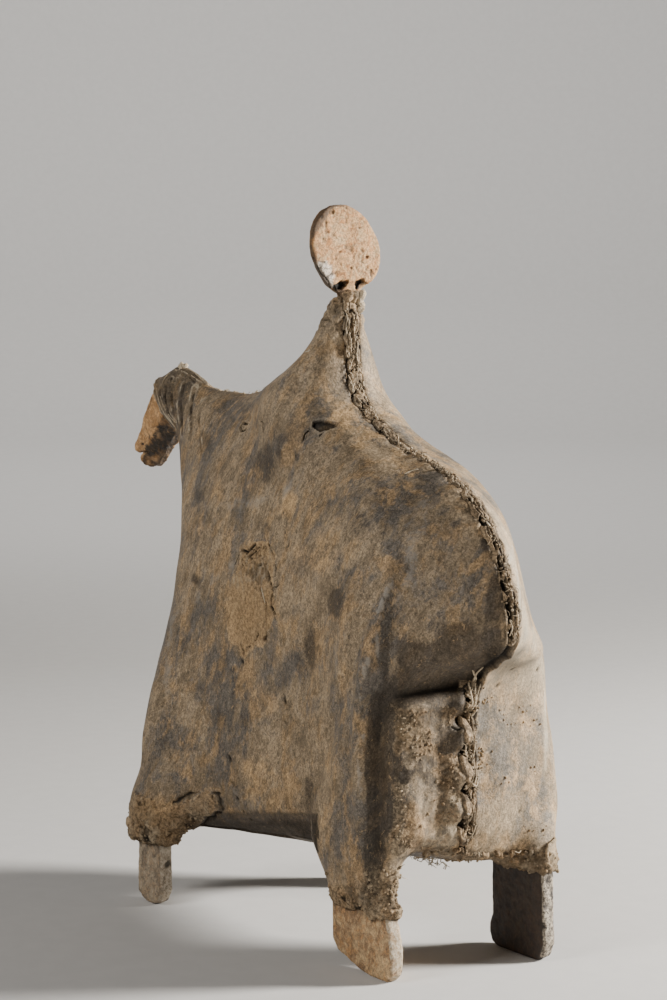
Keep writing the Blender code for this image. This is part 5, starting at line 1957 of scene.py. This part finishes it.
def build_rider_head(mat):
    obj = carved("rider_head_disc", "rider_head", 0.00058, 2, mat)
    co = points_of(obj)
    normals = normals_of(obj)
    tree = BVHTree.FromObject(obj, bpy.context.evaluated_depsgraph_get())
    px = pixels_of(co)
    right, down = px.T
    face = np.abs(normals[:, 1])
    rear = normals[:, 1] > 0.0
    rim = 1.0 - ramp(face, 0.35, 0.4)
    lift = 0.0006 * crags(co, 0.012, 3, 4) * (0.6 + face) + 0.0010 * rim * crags(co, 0.008, 5, 3)
    pits = unit(crags(co, 0.0042, 7, 3) - 0.22) * face
    lift -= 0.0014 * pits
    # painted shade in the pits
    dark = np.clip(2.2 * pits - 0.35, 0.0, 0.6)
    # the holes are sunk and darkened as painted shade
    for x, y, wide, high, slope, deep in DISC_HOLES:
        level = down - y - slope * (right - x)
        d = np.hypot((right - x) / wide, level / high) + 0.45 * crags(co, 0.0036, 11, 3)
        hollow = unit((1.2 - d) / 0.4) * rear
        lift -= deep * hollow
        dark = np.maximum(dark, unit(hollow * 1.4) * (1.0 if deep > 0.002 else 0.6))
    chalky = unit(1.5 - ellipse(px, 322, 277, 12, 15) + 0.7 * crags(co, 0.006, 15, 3))
    uneven = 0.0005 * (1.0 + 0.7 * lumps(co, 0.003, 17))
    # the cracks are cut and darkened as painted shade
    for pixels in DISC_CRACKS:
        cut = bell(from_line(co, [spot(tree, *p) for p in pixels])[0], uneven) * rear
        lift -= 0.0009 * cut
        dark = np.maximum(dark, 0.85 * cut)
    # darker along the edge, broad at the lower left and none at the right
    inside = inside_by(px, DISC_OUTLINE)
    reach = np.interp(down, (206, 235, 262, 280, 291), (1.5, 3.0, 3.6, 6.0, 7.0))
    reach *= np.clip((352 - right) / 24, 0.12, 1.0)
    darkening = unit(1.3 - inside / reach + 0.6 * crags(co, 0.005, 19, 3)) * rear * ramp(right, 358, -20)
    # the hidden front is rounded off towards its edge
    low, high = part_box("rider_head")
    to_middle = unit(0.5 * (high.y - low.y) - (co[:, 1] - low.y))
    co[:, 1] += 0.4 * to_middle * unit(1.0 - inside / 9.0)
    set_points(obj, co + normals * lift[:, None])
    dark_rim = 0.85 * rim * ramp(right, 350, -26) * patchy(co, 0.75, 0.8, 0.006, 13, 3)
    mark(obj, "rim", np.maximum(dark_rim, 0.85 * darkening))
    mark(obj, "chalk", chalky * rear)
    mark(obj, "dark", dark)
    return obj


# The line of the horse's jaw in its own plane: a point, and the way across it into the cheek
JAW_Y = -0.1731
JAW_Z = 0.338
INTO_CHEEK = (-0.659, 0.752)

# Nostril and mouth: pixel, half width, half height and depth
FACE_CUTS = ((142, 444, 1.8, 1.4, 0.0016), (145, 452, 4.5, 1.4, 0.0026))
MOUTH_ROW = 453.0

# Scratches on the cheek: pixels along each, half width and depth
FACE_SCRATCHES = (
    (((150, 428), (157, 426), (165, 429)), 0.0004, 0.0010), (((160, 404), (163, 416), (168, 424)), 0.0006,
        0.0012),
    (((148, 409), (152, 398)), 0.0007, 0.0006),
)
# Painted shade on the jaw's underside: pixel, half width and half height
JAW_SHADE_SPOTS = ((160, 443, 12, 8), (169, 437, 8, 7), (151, 450, 8, 6), (165, 430, 8, 5))


def build_face(mat):
    obj = carved("horse_face", "horse_head", 0.0007, 3, mat)
    co = points_of(obj)
    # the cheek thins to a keel along the jaw
    from_jaw = INTO_CHEEK[0] * (co[:, 1] - JAW_Y) + INTO_CHEEK[1] * (co[:, 2] - JAW_Z)
    full = np.interp(from_jaw, (0.0, 0.012), (0.30, 1.0))
    co[:, 0] = co[:, 0] * full - 0.004 * (1.0 - full)
    # the mouth is open a little, and the lower jaw is set back
    right, down = pixels_of(co).T
    notch = bell(down - MOUTH_ROW, 1.7) * ramp(right, 150.0, -7.0)
    jaw = ramp(down, MOUTH_ROW, 3.0) * ramp(right, 147.0, -5.0)
    co[:, 1] += 0.0045 * notch + 0.0020 * jaw * (1.0 - notch)
    set_points(obj, co)
    normals = normals_of(obj)
    px = pixels_of(co)
    crumbly = unit(1.3 - from_jaw / 0.013)
    rubble = crags(co, 0.0042, 5, 3)
    lift = 0.0006 * crags(co, 0.010, 3, 4) + 0.0013 * crumbly * rubble
    left = normals[:, 0] > -0.3
    # painted shade in the pits of the crumbly jaw
    dark = 0.85 * crumbly * ramp(-rubble, 0.06, 0.16)
    for x, y, wide, high, deep in FACE_CUTS:
        # cut on both sides of the muzzle, darkened inside as painted shade
        cut = unit(1.3 - ellipse(px, x, y, wide, high)) * left
        lift -= deep * cut
        dark = np.maximum(dark, unit(cut * 1.2))
    tree = BVHTree.FromObject(obj, bpy.context.evaluated_depsgraph_get())
    # the scratches are cut and darkened as painted shade
    for pixels, wide, deep in FACE_SCRATCHES:
        cut = bell(from_line(co, [spot(tree, *p) for p in pixels])[0], wide)
        lift -= deep * cut
        dark = np.maximum(dark, 0.7 * cut)
    jaw_shade = np.zeros(len(co))
    for x, y, wide, high in JAW_SHADE_SPOTS:
        spread = 1.5 - ellipse(px, x, y, wide, high) - 0.6 * crags(co, 0.005, 17, 3)
        jaw_shade = np.maximum(jaw_shade, unit(spread))
    set_points(obj, co + normals * lift[:, None])
    # painted shade on the jaw's underside, stronger where the face does not turn to the figure's right
    mark(obj, "jaw_shade", jaw_shade * (0.4 + 0.6 * left))
    shaded = 0.75 * unit(-normals[:, 2] - 0.35) ** 0.5 * patchy(co, 0.7, 1.0, 0.005, 23)
    # painted shade on the keel's downturned face, and a painted highlight along the jaw's edge
    down_across = -INTO_CHEEK[0] * normals[:, 1] - INTO_CHEEK[1] * normals[:, 2]
    keel = ramp(down_across, 0.45, 0.25)
    wear_and_glint = bell(from_jaw - 0.0012, 0.0012) * patchy(co, 0.5, 1.0, 0.006, 19)
    dark = np.maximum(np.maximum(dark, shaded), 0.85 * keel * patchy(co, 0.8, 0.8, 0.005, 29))
    mark(obj, "pale", 0.6 * wear_and_glint * (1.0 - keel))
    mark(obj, "dark", dark)
    return obj


def build_plank(node, seed, mat):
    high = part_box(node)[1]
    obj = carved("plank_" + node, node, 0.00085, 2, mat)
    co = points_of(obj)
    normals = normals_of(obj)
    lift = 0.0008 * crags(co, 0.016, seed, 4) + 0.0004 * crags(co, 0.0040, seed + 3, 3)
    # worn and chipped edges, and a crusty rear edge
    edge = unit(1.0 - np.abs(np.abs(normals[:, 0]) - 0.6) / 0.4)
    lift -= 0.0010 * edge * patchy(co, 0.3, 1.0, 0.008, seed + 5, 3)
    rear = ramp(normals[:, 1], 0.35, 0.3)
    crusty = crags(co, 0.0060, seed + 11, 4)
    lift += 0.0009 * rear * crusty
    pit = unit(crags(co, 0.006, seed + 7, 3) - 0.45)
    lift -= 0.0012 * pit
    lift *= 1.0 - unit((0.004 - co[:, 2]) / 0.004)
    # painted shade where the plank goes into its cuff
    darkening = unit(1.1 - (high.z - co[:, 2]) / 0.007 + 0.6 * crags(co, 0.006, seed))
    # painted shade in the hollows of the crusty rear edge and in the pits
    dark = np.maximum(0.8 * rear * ramp(-crusty, 0.28, 0.12), np.minimum(2.0 * pit, 0.5))
    moved = co + normals * lift[:, None]
    moved[:, 2] = np.maximum(moved[:, 2], 0.0)
    set_points(obj, moved)
    mark(obj, "edge", np.maximum(rear * unit(0.55 + 0.9 * crusty), 0.5 * ramp(-normals[:, 1], 0.45, 0.3)))
    mark(obj, "dark", np.maximum(dark, 0.75 * darkening))
    return obj


# Stage

def lamp(name, place, aim, size, power, colour):
    data = bpy.data.lights.new(name, "AREA")
    data.shape = "DISK"
    data.size = size
    data.energy = power
    data.color = colour
    obj = bpy.data.objects.new(name, data)
    bpy.context.scene.collection.objects.link(obj)
    obj.location = place
    obj.rotation_mode = "QUATERNION"
    obj.rotation_quaternion = (Vector(aim) - Vector(place)).to_track_quat("-Z", "Y")
    return obj


# Rings of the floor, which rises to a wall far off: radius and height
FLOOR_RINGS = (
    (0.3, 0.0), (1.0, 0.0), (3.0, 0.0), (4.2, 0.06), (5.0, 0.4), (5.5, 1.2), (5.7, 2.4), (5.7, 4.0),
)


def floor_mesh(count=96):
    bm = bmesh.new()
    centre = bm.verts.new((0.0, 0.0, 0.0))
    turns = [2.0 * math.pi * k / count for k in range(count)]
    rings = []
    for radius, height in FLOOR_RINGS:
        rings.append([bm.verts.new((radius * math.cos(a), radius * math.sin(a), height)) for a in turns])
    for k in range(count):
        bm.faces.new((centre, rings[0][k], rings[0][(k + 1) % count]))
    for low, high in zip(rings, rings[1:]):
        for k in range(count):
            n = (k + 1) % count
            bm.faces.new((low[k], high[k], high[n], low[n]))
    mesh = bpy.data.meshes.new("studio_floor")
    bm.to_mesh(mesh)
    bm.free()
    return mesh


def build_stage(look):
    right, up, forward = camera_axes()
    data = bpy.data.cameras.new("camera")
    data.lens = LENS_MM
    data.sensor_fit = "VERTICAL"
    data.sensor_height = SENSOR_MM
    data.sensor_width = SENSOR_MM
    data.clip_start = 0.05
    data.clip_end = 50.0
    cam = bpy.data.objects.new("camera", data)
    bpy.context.scene.collection.objects.link(cam)
    turn = Matrix((right, up, -forward)).transposed().to_4x4()
    cam.matrix_world = Matrix.Translation(CAMERA_PLACE) @ turn
    bpy.context.scene.camera = cam

    mesh = floor_mesh()
    f = Finish("pale_floor", 0.9)
    speck = f.noise(60.0, 3.0)
    colour = f.mix(f.span(speck, 0.3, 0.7, 0.0, 1.0), tuple(look.floor), shade(look.floor, 0.97))
    floor = new_object("studio_floor", mesh, f.done(colour, f.bump(speck, 0.05, 0.001)))

    middle = Vector((0.0, 0.0, 0.25))
    key = middle + right * 1.75 + up * 0.62 + forward * 0.02
    fill = middle - right * 1.75 + up * 1.15 - forward * 1.35
    above_wall = forward * 2.2 + Vector((0.0, 0.0, 3.0))
    on_wall = forward * 5.6 + Vector((0.0, 0.0, 2.0))
    lamp("key_light", key, (0.0, 0.05, 0.25), 0.42, look.key_light, (1.0, 0.96, 0.90))
    lamp("fill_light", fill, middle, 0.9, look.fill_light, (1.0, 0.97, 0.93))
    lamp("wall_light", above_wall, on_wall, 2.2, look.wall_light, (1.0, 0.98, 0.96))
    world = bpy.data.worlds.new("soft_room")
    world.use_nodes = True
    sky = world.node_tree.nodes["Background"].inputs
    sky["Color"].default_value = (0.80, 0.82, 0.86, 1.0)
    sky["Strength"].default_value = look.room_light
    bpy.context.scene.world = world


# Sizes and colours that a user may change

def colour_property(name, description, default):
    kind = {"subtype": "COLOR", "size": 3, "min": 0.0, "max": 1.0}
    return FloatVectorProperty(name=name, description=description, default=default, **kind)


def power_property(name, description, default):
    return FloatProperty(name=name, description=description, default=default, min=0.0, unit="POWER")


def length_property(name, description, default, least):
    return FloatProperty(name=name, description=description, default=default, min=least, unit="LENGTH")


class FigureLooks(bpy.types.PropertyGroup):
    """Sizes, colours and lights of the figure"""
    hide_cell: length_property("Hide cell", "Size of the cells of the hide's skin", 0.00345, 0.001)
    stitch_pitch: length_property("Stitch pitch", "Distance between the back's stitches", 0.0165, 0.004)
    hide_tan: colour_property("Hide tan", "Main colour of the hide", (0.278, 0.210, 0.134))
    hide_grey: colour_property("Hide grey", "Colour of the grey clouds on the hide", (0.112, 0.096, 0.078))
    hide_ochre: colour_property(
        "Hide ochre", "Colour of the warm patches on the hide", (0.325, 0.215, 0.110)
    )
    # this pale also paints highlights on the hide
    hide_pale: colour_property("Hide pale", "Colour of raw hide edges and fibres", (0.66, 0.56, 0.41))
    lacing_brown: colour_property(
        "Lacing brown", "Colour of the thong and the folded hide", (0.225, 0.160, 0.095)
    )
    disc_pale: colour_property("Disc wood", "Main colour of the rider's head", (0.60, 0.335, 0.140))
    face_orange: colour_property("Face wood", "Main colour of the horse's face", (0.52, 0.27, 0.095))
    floor: colour_property("Floor", "Colour of the studio floor", (0.60, 0.59, 0.575))
    key_light: power_property("Key light", "Power of the light on the right", 122.0)
    fill_light: power_property("Fill light", "Power of the light on the left", 33.0)
    wall_light: power_property("Wall light", "Power of the light on the wall behind", 110.0)
    room_light: FloatProperty(name="Room light", description="Light from all sides", default=0.05, min=0.0)


def looks():
    return bpy.context.scene.figure_looks


class FIGURE_OT_stage(bpy.types.Operator):
    """Make the camera, the lights and the floor"""
    bl_idname = "figure.stage"
    bl_label = "Stage"

    def execute(self, context):
        build_stage(looks())
        return {"FINISHED"}


class FIGURE_OT_hide(bpy.types.Operator):
    """Make the hide cover"""
    bl_idname = "figure.hide"
    bl_label = "Hide cover"

    def execute(self, context):
        build_hide(looks(), hide_finish(looks()))
        return {"FINISHED"}


class FIGURE_OT_lacing(bpy.types.Operator):
    """Make the lacing down the back and along the horse's crest"""
    bl_idname = "figure.lacing"
    bl_label = "Lacing"

    def execute(self, context):
        hide = bpy.data.objects.get("hide_cover")
        if hide is None:
            raise RuntimeError("make the hide cover first: the lacing lies on it")
        tree = BVHTree.FromObject(hide, bpy.context.evaluated_depsgraph_get())
        finish = lacing_finish(looks())
        build_back_seam(finish, tree)
        build_crest_seam(finish, tree)
        return {"FINISHED"}


class FIGURE_OT_rider_head(bpy.types.Operator):
    """Make the rider's flat wooden head"""
    bl_idname = "figure.rider_head"
    bl_label = "Rider's head"

    def execute(self, context):
        build_rider_head(disc_finish(looks()))
        return {"FINISHED"}


class FIGURE_OT_horse_face(bpy.types.Operator):
    """Make the horse's carved face"""
    bl_idname = "figure.horse_face"
    bl_label = "Horse's face"

    def execute(self, context):
        build_face(face_finish(looks()))
        return {"FINISHED"}


class FIGURE_OT_legs(bpy.types.Operator):
    """Make the four plank legs"""
    bl_idname = "figure.legs"
    bl_label = "Plank legs"

    def execute(self, context):
        grey = plank_finish("grey_plank", PLANK_GREY)
        orange = plank_finish("orange_plank", PLANK_ORANGE)
        # the right hind plank is made nearly black as painted shade
        brown = plank_finish("dark_plank", PLANK_DARK)
        for seed, (node, finish) in enumerate(zip(LEG_NODES, (grey, grey, orange, brown))):
            build_plank(node, 20 * seed + 3, finish)
        return {"FINISHED"}


class FIGURE_PT_panel(bpy.types.Panel):
    """Lists the figure's pieces and looks"""
    bl_label = "Horse and rider figure"
    bl_idname = "FIGURE_PT_panel"
    bl_space_type = "VIEW_3D"
    bl_region_type = "UI"
    bl_category = "Figure"

    def draw(self, context):
        for operator in OPERATORS:
            self.layout.operator(operator.bl_idname)
        for name in FigureLooks.__annotations__:
            self.layout.prop(context.scene.figure_looks, name)


OPERATORS = (
    FIGURE_OT_stage, FIGURE_OT_hide, FIGURE_OT_lacing, FIGURE_OT_rider_head, FIGURE_OT_horse_face,
    FIGURE_OT_legs,
)
CLASSES = (FigureLooks, *OPERATORS, FIGURE_PT_panel)


def register():
    for cls in CLASSES:
        bpy.utils.register_class(cls)
    bpy.types.Scene.figure_looks = PointerProperty(type=FigureLooks)


def unregister():
    del bpy.types.Scene.figure_looks
    for cls in reversed(CLASSES):
        bpy.utils.unregister_class(cls)


def main():
    register()
    bpy.ops.figure.stage()
    bpy.ops.figure.hide()
    bpy.ops.figure.lacing()
    bpy.ops.figure.rider_head()
    bpy.ops.figure.horse_face()
    bpy.ops.figure.legs()


if __name__ == "__main__":
    main()
